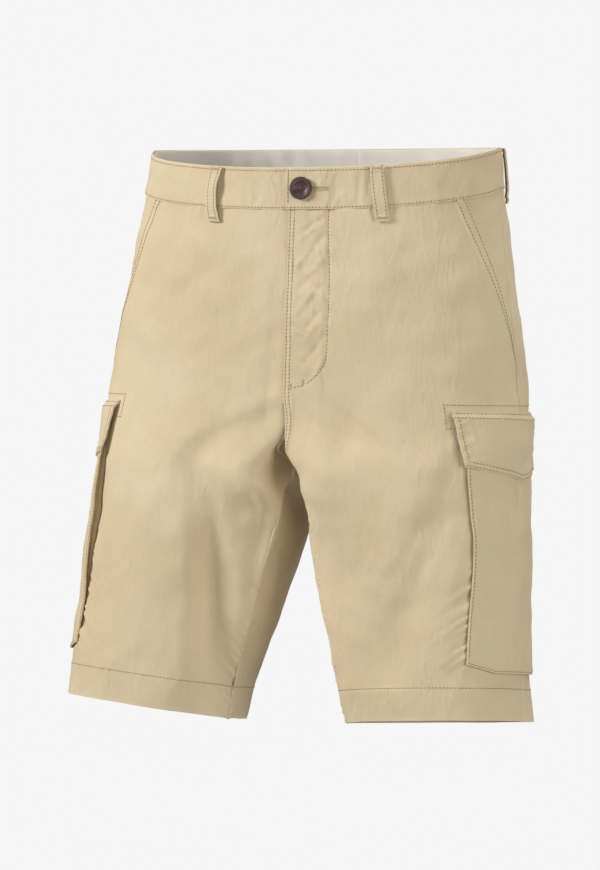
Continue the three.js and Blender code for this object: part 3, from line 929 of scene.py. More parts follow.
# How far the left front's edge runs past the centre.
def flyOver(drop):
    return cut["gap"] + fly["over"] * fade(drop, *flyCloth["over"])


def flyWidth(drop):
    return fly["width"] + fly["widens"] * grow(drop, *flyCloth["widens"])


def lapRidge(apart):
    return 0.45 * (1 - grow(apart, 6, 2)) * smooth(apart / 1.6)


# The row of stitches that closes the fly: straight, then round to the centre.
def flyRow(drop):
    past = np.clip((drop - (fly["end"] - fly["curve"])) / fly["curve"], 0, 1)
    return flyWidth(drop) * np.sqrt(np.maximum(0, 1 - past**2))


def flyStitchGroove(drop, fromInner):
    run = np.linspace(cut["bandDepth"], fly["end"], 160)
    row = np.stack([flyRow(run), run], -1)
    turn = fly["end"] - fly["curve"]
    far = 99.0
    apart = np.where(drop < turn, np.abs(fromInner - flyWidth(drop)), far).ravel()
    near = (fromInner < flyWidth(drop) + 4) & (drop > turn - 8) & (drop < fly["end"] + 6)
    flat = np.flatnonzero(near.ravel())
    if len(flat):
        here = np.stack([fromInner.ravel()[flat], drop.ravel()[flat]], -1)
        nearest = np.min(np.linalg.norm(here[:, None] - row[None], axis=2), axis=1)
        apart[flat] = np.minimum(apart[flat], nearest)
    return groove(apart.reshape(drop.shape), *flyCloth["groove"])


# Where a place on the cargo pocket lies on the leg. Its front edge is drawn back half way down.
def pocketOnLeg(side, drop, arc):
    look = sides[side]
    bow = look["frontBow"] * np.sin(math.pi * np.clip((drop - 296) / 165, 0, 1))
    drift = look["drift"]["reach"] * grow(drop, look["drift"]["start"], look["drift"]["over"])
    return arc - bow * smooth(arc / pocket["half"]) + look["pocketShift"] + drift


# The inner edge without its quick turn at the crotch, which the columns away from it follow.
def softInner(drop, face):
    first, last = 246.0, 322.0
    ends = innerArc(np.array([first, last]), face)
    eased = ends[0] + (ends[1] - ends[0]) * grow(drop, first, last - first)
    return np.where((drop > first) & (drop < last), eased, innerArc(drop, face))


# The cut of a front and a back, and how its mesh is spaced: narrow columns near the inner edge
# and, in front, where the pocket and its folds are.
panelSize = {
    -1: {"name": "front_", "width": 232, "flat": (0.25, 0.485), "area": 0.0975, "fine": 0.75, "coarse": 2.5,
         "down": 1.86, "keepInner": 60, "keepOuter": 40, "ease": 36,
         "zones": [(0, 42, 1.5), (120, 232, 1.9)]},
    1: {"name": "back_", "width": 300, "flat": (0.345, 0.49), "area": 0.152, "fine": 0.75, "coarse": 2.9,
        "down": 1.86, "keepInner": 30, "keepOuter": 20, "ease": 60, "zones": [(0, 26, 1.6)]},
}


def panelShape(side, face):
    size = panelSize[face]

    def shape(u, v):
        inner = innerArc(v, face)
        outer = slantCut(v) if face < 0 else np.zeros_like(v)
        eased = softInner(v, face)
        free = size["width"] - size["keepInner"] - size["keepOuter"]
        stretch = (np.abs(eased - outer) - size["width"]) * np.clip((u - size["keepInner"]) / free, 0, 1)
        across = u + stretch - underLap(side, face, v) * (1 - np.clip(u / 12, 0, 1))
        arc = inner + face * across + (eased - inner) * smooth(u / size["ease"])
        point, normal = onCloth(side, v, arc, panelHeight(side, face, v, arc))
        edge = np.minimum(np.abs(arc - inner), np.abs(arc - outer))
        # paler along the inner, outer and hem edges: wear and a painted highlight
        wearAndHighlight = 0.9 * np.exp(-edge) + np.exp(-np.abs(v - cut["outseam"]) / panelEdge["wearAndHighlightHem"])
        return point, normal, arc, v, np.clip(wearAndHighlight, 0, 1)
    return shape


# The right front runs on beneath the left one at the fly.
def underLap(side, face, drop):
    if face > 0:
        return np.full_like(drop, cut["gap"])
    if side > 0:
        return flyOver(drop)
    return cut["gap"] + fly["under"] * fade(drop, cut["crotch"] - 22, 40)


def legPanel(side, face):
    size = panelSize[face]
    marks = [0, *fly["rows"], size["width"]]
    if face < 0:
        marks += [size["width"] - slant["row"], size["width"] - slant["secondRow"]]
    if face < 0 and side > 0:
        marks.append(fly["width"])
    across = spread(size["width"], marks, size["fine"], size["coarse"], zones=size["zones"])
    top = cut["bandDepth"] - cut["bandLap"]
    length = cut["outseam"] - top
    down = top + spread(length, [0, hemTop - top, length], size["fine"], size["down"])

    def thick(drop):
        return 0.5 + 0.5 * (drop > hemTop + 0.4)
    more = ["fly"] if face < 0 and side > 0 else []
    clothSheet(size["name"] + sides[side]["name"], across, down, panelShape(side, face), 2 * cut["cloth"],
               size["flat"], area=size["area"], thick=thick, more=more)


# Sewing: each stitch is a small barrel, with a dark barrel between it and the next that paints the shade of
# the needle hole. The rows of a piece are gathered here, and copies of one stitch are joined in one mesh.
sewn = {}
# hole and holeWidth size the dark barrel that paints a needle hole's shade; satin stitches take a little of
# that painted shade
stitch = {"pitch": 3.3, "length": 2.4, "width": 0.75, "hole": 1.2, "holeWidth": 0.95, "sunk": 0.08}
satin = {"pitch": 0.5, "width": 0.45, "shade": 0.15, "high": 0.25, "tack": 2.0}


def pickAlong(values, run, at):
    return np.stack([np.interp(at, run, values[:, k]) for k in range(3)], -1)


def unit(values):
    return values / (np.linalg.norm(values, axis=1, keepdims=True) + 1e-9)


# The part of a that is square to b.
def square(a, b):
    return unit(a - b * np.sum(a * b, axis=1, keepdims=True))


def runAlong(point):
    return np.concatenate([[0], np.cumsum(np.linalg.norm(np.diff(point, axis=0), axis=1))])


def sew(group, middle, heading, up, length, width, shade):
    many = np.ones(len(middle))
    sewn.setdefault(group, []).append((middle, heading, up, many * length, many * width, many * shade))


def stitchRow(group, point, normal):
    run = runAlong(point)
    count = int(run[-1] / stitch["pitch"])
    # each stitch, then a dark barrel of painted shade at the needle hole
    for shift, length, width, shade in ((0.5, stitch["length"], stitch["width"], 0),
                                        (0, stitch["hole"], stitch["holeWidth"], 1)):
        at = (np.arange(count) + shift) * stitch["pitch"]
        heading = unit(pickAlong(point, run, at + 1) - pickAlong(point, run, at - 1))
        up = square(pickAlong(normal, run, at), heading)
        middle = pickAlong(point, run, at) - up * (stitch["sunk"] * shade)
        sew(group, middle, heading, up, length, width, shade)


def satinRow(group, point, normal, across, length, pitch=satin["pitch"]):
    run = runAlong(point)
    at = np.arange(0.2, run[-1], pitch)
    up = pickAlong(normal, run, at)
    heading = square(pickAlong(across, run, at), up)
    sew(group, pickAlong(point, run, at), heading, up, length, satin["width"], satin["shade"])


def oneStitch():
    selectNone()
    bpy.ops.mesh.primitive_uv_sphere_add(segments=6, ring_count=3, radius=0.5, location=(0, 0, 0))
    piece = bpy.context.active_object
    corners = np.array([corner.co for corner in piece.data.vertices])
    faces = [list(face.vertices) for face in piece.data.polygons]
    bpy.data.objects.remove(piece, do_unlink=True)
    return corners, faces


def makeStitches(group, name):
    middle, heading, up, length, width, shade = [np.concatenate(part) for part in zip(*sewn[group])]
    side = np.cross(up, heading)
    corners, faces = oneStitch()
    x, y, z = corners.T[:, None, :, None]
    ends = (2 * np.abs(corners[:, 2])) ** 2
    length, width = length[:, None, None], width[:, None, None]
    offset = side[:, None] * (x * width) + heading[:, None] * (z * length)
    offset += up[:, None] * (y * width * 0.8 + 0.16 - 0.2 * ends[None, :, None])
    points = (middle[:, None] + offset).reshape(-1, 3) * mm
    starts = range(0, len(points), len(corners))
    copies = [[corner + first for corner in face] for first in starts for face in faces]
    mesh = bpy.data.meshes.new(name)
    mesh.from_pydata(points.tolist(), [], copies)
    mesh.update()
    dip = mesh.attributes.new("dip", "FLOAT", "POINT")
    # the stitch ends are painted darker, as shade where the thread sinks into the cloth
    dark = np.maximum(shade[:, None], 0.3 * ends[None])
    dip.data.foreach_set("value", dark.astype(np.float32).ravel())
    piece = bpy.data.objects.new(name, mesh)
    bpy.context.scene.collection.objects.link(piece)
    onlySelect(piece)
    bpy.ops.object.shade_smooth()
    mesh.materials.append(thread)
    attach(piece, "root")
    print(name, len(middle), "stitches", len(copies), "faces")


def panelRow(side, face, drop, arc):
    drop, arc = np.broadcast_arrays(np.asarray(drop, float), np.asarray(arc, float))
    stitchRow("panels", *onCloth(side, drop, arc, panelHeight(side, face, drop, arc) + cut["thread"]))


def steps(first, last, count=400):
    return np.linspace(first, last, count)


def panelSewing():
    for side in sides:
        for face in panelSize:
            panelRow(side, face, hemTop, steps(innerArc(np.array([float(hemTop)]), face)[0], 0.0))
        # slanted pocket edges
        drop = steps(cut["bandDepth"] + 0.5, slant["end"] - 4)
        panelRow(side, -1, drop, slantCut(drop) + slant["row"])
        panelRow(side, -1, drop, slantCut(drop) + secondRow(drop))
    # fly edge and centre seam, fly row and back centre seam, all on the left panels
    drop = steps(cut["bandDepth"] + 0.5, cut["crotch"] - 14)
    for row in fly["rows"]:
        panelRow(1, -1, drop, innerArc(drop, -1) + flyOver(drop) - row)
        panelRow(1, 1, drop, innerArc(drop, 1) + row)
    drop = cut["bandDepth"] + (fly["end"] - cut["bandDepth"]) * np.sin(steps(0, math.pi / 2, 900))
    drop = drop[flyRow(drop) > 2.5]
    panelRow(1, -1, drop, innerArc(drop, -1) - flyRow(drop))
    # bar tacks that close the fly
    for up, away in ((1.5, 3.5), (5, 14)):
        drop = fly["end"] - up + steps(-3.5, 3.5, 60)
        arc = innerArc(drop, -1) - away
        point, normal = onCloth(1, drop, arc, panelHeight(1, -1, drop, arc) + satin["high"])
        angle = angleAt(drop, arc)
        across = smoothPoint(1, drop, angle + 0.02) - smoothPoint(1, drop, angle)
        satinRow("panels", point, normal, across, satin["tack"])


# Hip pocket: what shows of it between the slanted edge and the side seam.
hipCloth = {"across": 62, "sunk": 0.35, "tuck": 0.6, "ridge": 0.9, "wave": 0.35, "flat": (0.07, 0.19),
            "area": 0.0045}


def hipPocket(side):
    wide = hipCloth["across"]
    top = cut["bandDepth"] - cut["bandLap"]
    across = spread(wide, [0], 0.7, 2.2)
    down = spread(slant["end"] + slant["below"] - top, [0], 0.8, 2.4) + top

    def shape(u, v):
        arc = u / wide * (slantCut(v) + slant["under"]) - cut["gap"] * (1 - u / wide)
        under = (cut["cloth"] + hipCloth["sunk"]) * (0.35 + 0.65 * slant["show"][side])
        height = foldsAt(side, v, arc) - under
        ridge = hipCloth["tuck"] * seamTuck(arc) + hipCloth["ridge"] * np.exp(-np.abs(arc - 4) / 5)
        height += ridge * fade(v, slant["end"], 20) + gather("hipPocket", arc, v, 0.4 * side)
        height += hipCloth["wave"] * waves(arc, v, 22, 51 + side)
        height -= grow(v, slant["end"] - 14, 12) + fade(v, cut["bandDepth"] + 0.9, 1.2)
        point, normal = onCloth(side, v, arc, height)
        return point, normal, arc, v, np.zeros(len(u))
    clothSheet("hip_pocket_" + sides[side]["name"], across, down, shape, cut["cloth"], hipCloth["flat"],
               area=hipCloth["area"])


bandCloth = {
    "step": 0.3, "wave": 0.22,
    "crisp": ((74, 8.5, 63, 0.8), (118, 12, 67, -0.5)),    # heading, pitch, draw, height
    "creased": (120, 50), "slit": (1.1, 0.6), "end": 0.7, "endReach": 3, "endRow": 2.0,
}


# Height of the waistband over the smooth cloth: the lap, puckers along its rows, soft creases.
def bandHeight(side, drop, arc):
    height = np.full(np.shape(drop), float(cut["bandProud"]))
    if side > 0:
        angle = angleAt(drop, arc)
        reach = smoothPoint(side, drop, angle)[..., 0]
        rise = (cut["bandCloth"] + bandCloth["step"]) * fade(reach, band["lapReach"], band["lapSlope"])
        height += np.where(angle < 0, rise, 0)
    height += foldHeight(bandCreases, side, arc, drop) + bandCloth["wave"] * waves(arc, drop, 26, 61 + side)
    creased = 0.3 + 0.7 * grow(arc, *bandCloth["creased"])
    for heading, pitch, draw, high in bandCloth["crisp"]:
        height += creased * high * crinkle(arc, drop, heading, pitch, draw + side)
    for row, draw in zip(bandRows, (0.3, 1.6)):
        height += groove(drop - row) + gather("band", drop - row, arc, draw + side)
    if side > 0:
        slit = np.maximum(0, np.abs(arc - holeArc) - hole["half"])
        height += groove(np.hypot(slit, drop - band["middle"]), *bandCloth["slit"])
        ends = bell(arc - reachToArc(drop, bandCloth["endReach"] - band["over"]), 4)
        height += bandCloth["end"] * ends * crinkle(arc, drop, 84, 5, 69)
    return height


def reachToArc(drop, reach):
    s = sectionAt(np.asarray(drop, float))
    return arcAt(drop, -np.arccos((reach - s["out"]) / s["half"]))


bandRows = (band["rowTop"], cut["bandDepth"] - band["rowFoot"])
middleDrop = np.array([band["middle"]])
holeArc = float(reachToArc(middleDrop, hole["reach"])[0])


# The two ends of a strip round the waist: where its front end reaches, and the centre back.
def bandEnds(frontReach):
    start = reachToArc(middleDrop, frontReach)[0]
    return start, innerArc(middleDrop, 1)[0]


def bandArc(frontReach, share, drop):
    first = reachToArc(drop, frontReach)
    last = innerArc(drop, 1) - cut["gap"]
    return first + (last - first) * share


def halfBand(side):
    frontReach = {1: -band["over"], -1: -band["underlap"]}[side]
    start, end = bandEnds(frontReach)
    length = start - end
    marks = [0, 1.8]
    if side > 0:
        marks += [start - holeArc - hole["half"], start - holeArc + hole["half"]]
    across = spread(length, marks, 0.7, 1.7)
    down = spread(cut["bandDepth"], [0, *bandRows, cut["bandDepth"], band["middle"]], 0.55, 1.5, 1.6)

    def shape(u, v):
        arc = bandArc(frontReach, u / length, v)
        edge = np.minimum(v, cut["bandDepth"] - v)
        point, normal = onCloth(side, v, arc, bandHeight(side, v, arc) - 0.3 * bell(edge, 0.7))
        # paler along the band's folded top: wear and a painted highlight
        return point, normal, v, arc, np.exp(-v / 1.3)
    clothSheet("waistband_" + sides[side]["name"], across, down, shape, band["wall"],
               (length * mm, cut["bandDepth"] * mm))
    # rows of stitches along the top and foot, and down the left end
    run = steps(start - 2.0, end, 900)
    for row in bandRows:
        bandRow(side, np.full_like(run, row), run)
    if side > 0:
        drop = steps(3, cut["bandDepth"] - 2, 60)
        bandRow(side, drop, reachToArc(drop, bandCloth["endRow"] - band["over"]))


def bandRow(side, drop, arc):
    stitchRow("band", *onCloth(side, drop, arc, bandHeight(side, drop, arc) + cut["thread"]))


def waistLining(side):
    frontReach = band["lapReach"] + 2 if side > 0 else 0.2
    start, end = bandEnds(frontReach)
    length = start - end
    across = spread(length, [], 1, 3)
    down = spread(cut["bandDepth"] - 1, [0], 0.7, 2.5) + 1

    def shape(u, v):
        arc = bandArc(frontReach, u / length, v)
        height = cut["bandProud"] - cut["bandCloth"] - cut["gap"] + 0.3 * waves(arc, v, 24, 71 + side)
        height += gather("lining", v - 4, arc, side) + 0.3 * bell(v - 1, 1.2)
        point, normal = onCloth(side, v, arc, height)
        return point, normal, v, arc, np.zeros(len(u))
    clothSheet("waist_lining_" + sides[side]["name"], across, down, shape, 1.0, (length * mm, 0.036),
               slot="lining")


# Belt loops: a folded strip, bowed out between its two tacked ends. Each has its side, its place,
# how far its middle bows and its foot strays forward, and how far its inner edge curls away.
loopPlaces = {
    "belt_loop_front_left": {"side": 1, "where": "front", "bow": 0, "stray": 6, "curl": 0.8},
    "belt_loop_front_right": {"side": -1, "where": "front", "bow": -4.5, "stray": 1.5, "curl": 2.6},
    "belt_loop_side_left": {"side": 1, "where": "side", "bow": 1.5, "stray": 0, "curl": 0.4},
    "belt_loop_side_right": {"side": -1, "where": "side", "bow": -1, "stray": 1, "curl": 0.4},
    "belt_loop_back": {"side": 1, "where": "back", "bow": 1.2, "stray": -1.5, "curl": 0.3},
}


def loopMiddle(where, drop):
    if where == "front":
        return reachToArc(drop, loop["frontReach"])
    if where == "side":
        return arcAt(drop, angleAt(cut["bandDepth"] / 2, loop["sideArc"]))
    return arcAt(drop, np.full_like(drop, math.pi / 2))


def beltLoop(node, look):
    side, curl, half = look["side"], look["curl"], loop["width"] / 2
    rows = (loop["row"], loop["width"] - loop["row"])
    across = spread(loop["width"], [0, *rows, loop["width"]], 0.5, 1.0, 1.2)
    down = spread(loop["length"], [0, loop["length"], 4, loop["length"] - 4], 0.5, 1.2)
    draw = 0.3 * len(node) + side

    def height(u, v):
        share = v / loop["length"]
        inner = 1 - u / loop["width"]
        arch = loop["gap"] * np.sin(math.pi * np.clip(share, 0, 1)) ** loop["flatness"]
        bandEnd = cut["bandDepth"] + loop["step"]
        clear = cut["gap"] + cut["bandProud"] * fade(loop["top"] + v, bandEnd, loop["step"])
        ends = 0.9 * (1 - smooth((loop["length"] - v - loop["foldBack"]) / 1.2))
        ends += 0.7 * (1 - grow(v, loop["foldBack"], 1.2))
        sewing = groove(u - rows[0], 0.15, 0.6) + groove(u - rows[1], 0.15, 0.6)
        soft = 0.25 * np.sin(v / 6.5 + draw) * np.sin(v / 17 + 2 * draw) + 0.3 * (1 - (u / half - 1) ** 2)
        twist = curl * inner * np.sin(math.pi * share) * (1 + 0.35 * np.sin(v / 5.2 + draw))
        return clear + arch * (1 - 0.3 * curl * (1 - inner)) + loop["cloth"] + ends + sewing + soft + twist

    def place(u, v, extra=0.0):
        drop = loop["top"] + v
        share = v / loop["length"]
        sway = look["bow"] * np.sin(math.pi * share) - look["stray"] * share**1.5
        arc = loopMiddle(look["where"], drop) + half - u + sway + 0.35 * np.sin(v / 9 + draw)
        return onCloth(side, drop, arc, height(u, v) + extra)

    def shape(u, v):
        # paler along the loop's folded edges: wear and a painted highlight
        return *place(u, v), u, v, np.exp(-np.minimum(u, loop["width"] - u) / 0.8)
    clothSheet(node, across, down, shape, loop["cloth"], (0.024, 0.06), area=0.0007, edge=0.4)
    run = steps(0.8, loop["length"] - 0.8, 80)
    for row in rows:
        stitchRow("loops", *place(np.full_like(run, row), run, 0.08))
    run = steps(1.4, loop["width"] - 1.4, 40)
    for tack in loop["tacks"]:
        point, normal = place(run, np.full_like(run, tack), 0.22)
        lower, _ = place(run, np.full_like(run, tack + 1.0), 0.22)
        satinRow("loops", point, normal, lower - point, 2.1)


# Cargo pockets: a face with a pointed foot, a bellows strip round three sides and a flap.
def pocketBottom(arc):
    rise = (np.abs(arc) / pocket["half"] - 1) / pocket["round"] + 1
    return pocket["bottom"] - pocket["point"] * np.clip(rise, 0, 1)


def pocketStand(side, arc, drop):
    stand = sides[side]["stand"]
    across = np.maximum(0, 1 - (arc / pocket["half"]) ** 2)
    share = np.maximum(0, drop - pocket["top"]) / (pocketBottom(arc) - pocket["top"])
    edges = stand["foot"] + stand["more"] * bell(drop - stand["at"], stand["over"])
    return edges + pocket["bulge"] * across * np.sin(math.pi * np.clip(share, 0, 1))


def pocketPlace(side, drop, arc, height):
    onLeg = pocketOnLeg(side, drop, arc)
    return onCloth(side, drop, onLeg, height + foldsAt(side, drop, onLeg))


def faceHeight(side, drop, arc):
    fromEdge = pocket["half"] - np.abs(arc)
    fromFoot = pocketBottom(arc) - drop
    edge = np.minimum(fromEdge, fromFoot)
    height = cut["cloth"] + pocketStand(side, arc, drop)
    height += foldHeight(pocketCreases, side, arc, drop) * smooth(edge / 8)
    height += 0.14 * waves(arc, drop, 34, 81 + side) * smooth(edge / 6)
    height += 0.3 * crinkle(arc, drop, 88, 11, 83 + side) * smooth(edge / 5)
    height += groove(fromEdge - pocket["row"], 0.3) + groove(fromFoot - pocket["row"], 0.3)
    height += gather("pocketEdge", fromEdge - pocket["row"], drop, 0.4 * side)
    height += gather("pocketFoot", fromFoot - pocket["row"], arc, 1.4 * side)
    return height + 0.5 * bell(fromFoot, 5) * np.sin(arc / 13 + side)


def pocketRow(side, drop, arc):
    stitchRow("pockets", *pocketPlace(side, drop, arc, faceHeight(side, drop, arc) + cut["thread"]))


def pocketFace(side):
    wide, length = 2 * pocket["half"], pocket["bottom"] - pocket["top"]
    across = spread(wide, [0, pocket["row"], wide - pocket["row"], wide], 0.65, 2.1)
    down = spread(length, [length - pocket["row"], length], 0.65, 2.2)

    def shape(u, v):
        arc = pocket["half"] - u
        drop = pocket["top"] + v * (pocketBottom(arc) - pocket["top"]) / length
        edge = np.minimum(pocket["half"] - np.abs(arc), pocketBottom(arc) - drop)
        # paler at the pocket's folded edges: wear and a painted highlight
        return *pocketPlace(side, drop, arc, faceHeight(side, drop, arc)), arc, drop, 0.6 * np.exp(-edge)
    clothSheet("cargo_pocket_" + sides[side]["name"], across, down, shape, pocket["wall"], (0.145, 0.245),
               area=0.0275)
    run = steps(pocket["top"] + 4, pocketBottom(pocket["half"]) - 2, 300)
    inner = pocket["half"] - pocket["row"]
    for way in (1, -1):
        pocketRow(side, run, np.full_like(run, way * inner))
    arc = steps(inner, -inner, 300)
    pocketRow(side, pocketBottom(arc) - pocket["row"], arc)


# The bellows strip runs down one edge of the pocket, round its foot and up the other.
def pocketGusset(side):
    reach, corner = pocket["half"] - pocket["inset"], pocket["corner"]
    legs = pocketBottom(np.array([reach]))[0] - pocket["inset"] - corner - pocket["top"]
    turn = math.pi / 2 * corner
    whole = 2 * (legs + turn + reach - corner)

    def route(u):
        at = np.minimum(u, whole - u)
        onFoot = at > legs + turn
        swung = np.clip((at - legs) / corner, 0, math.pi / 2)
        along = np.maximum(0, reach - corner - (at - legs - turn))
        arc = np.where(onFoot, along, reach - corner * (1 - np.cos(swung)))
        foot = pocketBottom(arc) - pocket["inset"]
        turned = pocket["top"] + legs + (foot - pocket["top"] - legs) * np.sin(swung)
        drop = np.where(onFoot, foot, np.where(at > legs, turned, pocket["top"] + at))
        return np.where(u > whole / 2, -arc, arc), drop

    def shape(u, v):
        arc, drop = route(u)
        inward = 1 - np.abs(2 * v - 1)
        height = (pocketStand(side, arc, drop) - 0.2) * v + 0.15 + 0.12 * np.sin(u / 7) * inward
        point, _ = pocketPlace(side, drop, arc * (1 - 2.6 * inward / reach), height)
        flat = np.zeros_like(drop)
        outward = pocketPlace(side, drop, arc, flat)[0] - pocketPlace(side, drop, arc * 0.9, flat)[0]
        return point, outward, u, v * 5, flat
    clothSheet("cargo_gusset_" + sides[side]["name"], steps(0, whole, 260), steps(0, 1, 9), shape, 0.9,
               (whole * mm, 0.012), area=whole * mm * 0.0066, edge=0)


def flapFoot(side, arc):
    foot = sides[side]["flapTop"] + sides[side]["flapSide"]
    return foot + flap["point"] * (1 - np.abs(arc) / flap["half"])


def flapHeight(side, drop, arc):
    top = sides[side]["flapTop"]
    v = (drop - top) / (flapFoot(side, arc) - top)
    start = 0.5 + cut["cloth"]
    over = pocketStand(side, arc, drop) + 2 * cut["cloth"] + 0.6
    height = start + (over - start) * smooth(v / flap["ramp"])
    fromEdge, fromFoot = flap["half"] - np.abs(arc), flapFoot(side, arc) - drop
    inside = smooth((np.minimum(fromEdge, fromFoot) + 0.5) / 3)
    height += rowGrooves(drop - top, flap["topRows"])
    height += (groove(fromEdge - flap["edgeRow"]) + rowGrooves(fromFoot, flap["footRows"])) * inside
    height += gather("flapTop", drop - top - 6, arc, side * 0.8)
    height += gather("flapFoot", fromFoot - 4, arc, side * 1.8)
    height += gather("flapEdge", fromEdge - 4, drop, side * 2.8)
    height += 0.45 * waves(arc, drop, 40, 91 + side) * smooth(v)
    height += 0.4 * crinkle(arc, drop, 14, 10, 93 + side) * smooth(v) * inside
    return height + 0.8 * bell(fromFoot, 9) * bell(fromEdge, 14)


# The flap's sides draw in towards its foot.
def flapPlace(side, drop, arc, extra=0.0):
    share = (drop - sides[side]["flapTop"]) / sides[side]["flapSide"]
    drawn = arc * (1 - flap["taper"] / flap["half"] * share)
    return pocketPlace(side, drop, drawn, flapHeight(side, drop, arc) + extra)


def pocketFlap(side):
    wide, long, top = 2 * flap["half"], sides[side]["flapSide"], sides[side]["flapTop"]
    across = spread(wide, [0, flap["edgeRow"], wide - flap["edgeRow"], wide], 0.6, 1.5)
    marks = [0, *flap["topRows"], *(long - row for row in flap["footRows"]), long]
    down = spread(long, marks, 0.5, 1.4, 1.5)

    def shape(u, v):
        arc = flap["half"] - u
        drop = top + v * (flapFoot(side, arc) - top) / long
        edge = np.minimum.reduce([u, wide - u, flapFoot(side, arc) - drop, drop - top])
        # paler at the flap's folded edges: wear and a painted highlight
        return *flapPlace(side, drop, arc), arc, drop, 0.6 * np.exp(-edge)
    clothSheet("cargo_flap_" + sides[side]["name"], across, down, shape, flap["wall"], (wide * mm, 0.065),
               area=0.0078, edge=0.45)

    def row(arc, drop):
        stitchRow("pockets", *flapPlace(side, drop, arc, cut["thread"]))
    run = steps(flap["half"] - 1.0, 1.0 - flap["half"], 300)
    for away in flap["topRows"]:
        row(run, np.full_like(run, top + away))
    for away in flap["footRows"]:
        inner = steps(flap["half"] - away, away - flap["half"], 300)
        row(inner, flapFoot(side, inner) - away)
    high, low = top + flap["topRows"][1], flap["footRows"][1]
    for way in (1, -1):
        arc = np.full(80, way * (flap["half"] - flap["edgeRow"]))
        row(arc, high + (flapFoot(side, arc) - low - high) * steps(0, 1, 80))
    # the tack on the leg, a stitched box that shows past the flap's corner
    shift = sides[side]["pocketShift"]
    high, low = top - flap["tackUp"], top + flap["tackDown"]
    for face in panelSize:
        corner = -face * (flap["half"] + flap["tackOut"]) + shift
        inner = -face * (flap["half"] - flap["tackIn"]) + shift
        panelRow(side, face, steps(high, low, 40), corner)
        panelRow(side, face, low, steps(corner, inner, 40))
        panelRow(side, face, high, steps(corner, -face, 200))


# The button: a turned disc with a raised rim, four holes and crossed thread. Each step of its
# face is inset by a share of its radius and sunk by a share of its thickness.
buttonSteps = ((0.16, 0.0), (0.24, -0.10), (0.1, -0.32))


def waistButton():
    selectNone()
    r, t = button["radius"] * mm, button["thick"] * mm
    bpy.ops.mesh.primitive_cylinder_add(vertices=72, radius=r, depth=t, location=(0, 0, t / 2))
    piece = bpy.context.active_object
    piece.name = "waistButton"
    bpy.ops.object.transform_apply(location=True, rotation=True, scale=True)
    bpy.ops.object.mode_set(mode="EDIT")
    bpy.ops.mesh.select_mode(type="FACE")
    bpy.ops.mesh.select_all(action="DESELECT")
    for inset, sink in buttonSteps:
        bpy.ops.object.mode_set(mode="OBJECT")
        for face in piece.data.polygons:
            face.select = face.normal.z > 0.99 and face.center.xy.length < 0.1 * mm
        bpy.ops.object.mode_set(mode="EDIT")
        bpy.ops.mesh.inset(thickness=inset * r, depth=0)
        bpy.ops.transform.translate(value=(0, 0, sink * t))
    bpy.ops.object.mode_set(mode="OBJECT")
    bevel = piece.modifiers.new("bevel", "BEVEL")
    bevel.width = button["bevel"] * mm
    bevel.segments = 4
    bevel.limit_method = "ANGLE"
    bevel.angle_limit = math.radians(20)
    bpy.ops.object.modifier_apply(modifier=bevel.name)
    for turn in range(4):
        aside = math.radians(45 + 90 * turn)
        x = button["holesOut"] * mm * math.cos(aside)
        y = button["holesOut"] * mm * math.sin(aside)
        selectNone()
        place, radius = (x, y, t / 2), button["holes"] * mm
        bpy.ops.mesh.primitive_cylinder_add(vertices=24, radius=radius, depth=4 * t, location=place)
        tool = bpy.context.active_object
        onlySelect(piece)
        bored = piece.modifiers.new("hole", "BOOLEAN")
        bored.operation = "DIFFERENCE"
        bored.object = tool
        bored.solver = "EXACT"
        bpy.ops.object.modifier_apply(modifier=bored.name)
        bpy.data.objects.remove(tool, do_unlink=True)
    bpy.ops.object.shade_smooth_by_angle(angle=math.radians(32))
    seat = buttonSeat()
    piece.data.transform(seat)
    piece.data.materials.clear()
    piece.data.materials.append(horn)
    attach(piece, "root")
    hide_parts("button")
    # crossed threads through the holes, coloured wholly in the painted shade of the holes
    turn = np.array(seat.to_3x3())
    origin = np.array(seat.translation) / mm
    for way, high in ((45, 0), (135, 0.12)):
        heading = np.array([math.cos(math.radians(way)), math.sin(math.radians(way)), 0])
        for shift in (-0.22, 0.22):
            place = np.array([-heading[1] * shift, heading[0] * shift, button["thick"] * 0.66 + high])
            middle, along, up = origin + turn @ place, turn @ heading, turn[:, 2]
            sew("button", middle[None], along[None], up[None], 5.0, 0.5, 1.0)


def buttonSeat():
    arc = reachToArc(middleDrop, button["reach"])
    stand = np.array([cut["bandProud"] + cut["bandCloth"] + button["clear"]])
    point, normal = onCloth(1, middleDrop, arc, stand)
    up = Vector(normal[0])
    across = Vector((0, 0, 1)).cross(up).normalized()
    turn = Matrix((across, up.cross(across), up)).transposed()
    return Matrix.Translation(Vector(point[0]) * mm) @ turn.to_4x4()


# The buttonhole: a long, narrow ring of close stitches, laid level with the band below it.
def buttonHole():
    run = steps(0, 2 * math.pi, 220)
    reach, gap = hole["half"], hole["gap"]
    arc = holeArc - np.clip(1.9 * np.cos(run), -1, 1) * reach - np.cos(run) * gap
    drop = band["middle"] + np.sin(run) * gap * 1.1
    height = bandHeight(1, np.full_like(drop, band["middle"] + 3), arc) + 0.15
    point, normal = onCloth(1, drop, arc, height)
    middle = np.full_like(drop, band["middle"])
    centreArc = np.clip(arc, holeArc - reach, holeArc + reach)
    centre = smoothPoint(1, middle, angleAt(middle, centreArc)) + normal * height[:, None]
    satinRow("band", point, normal, point - centre, hole["satin"], hole["pitch"])


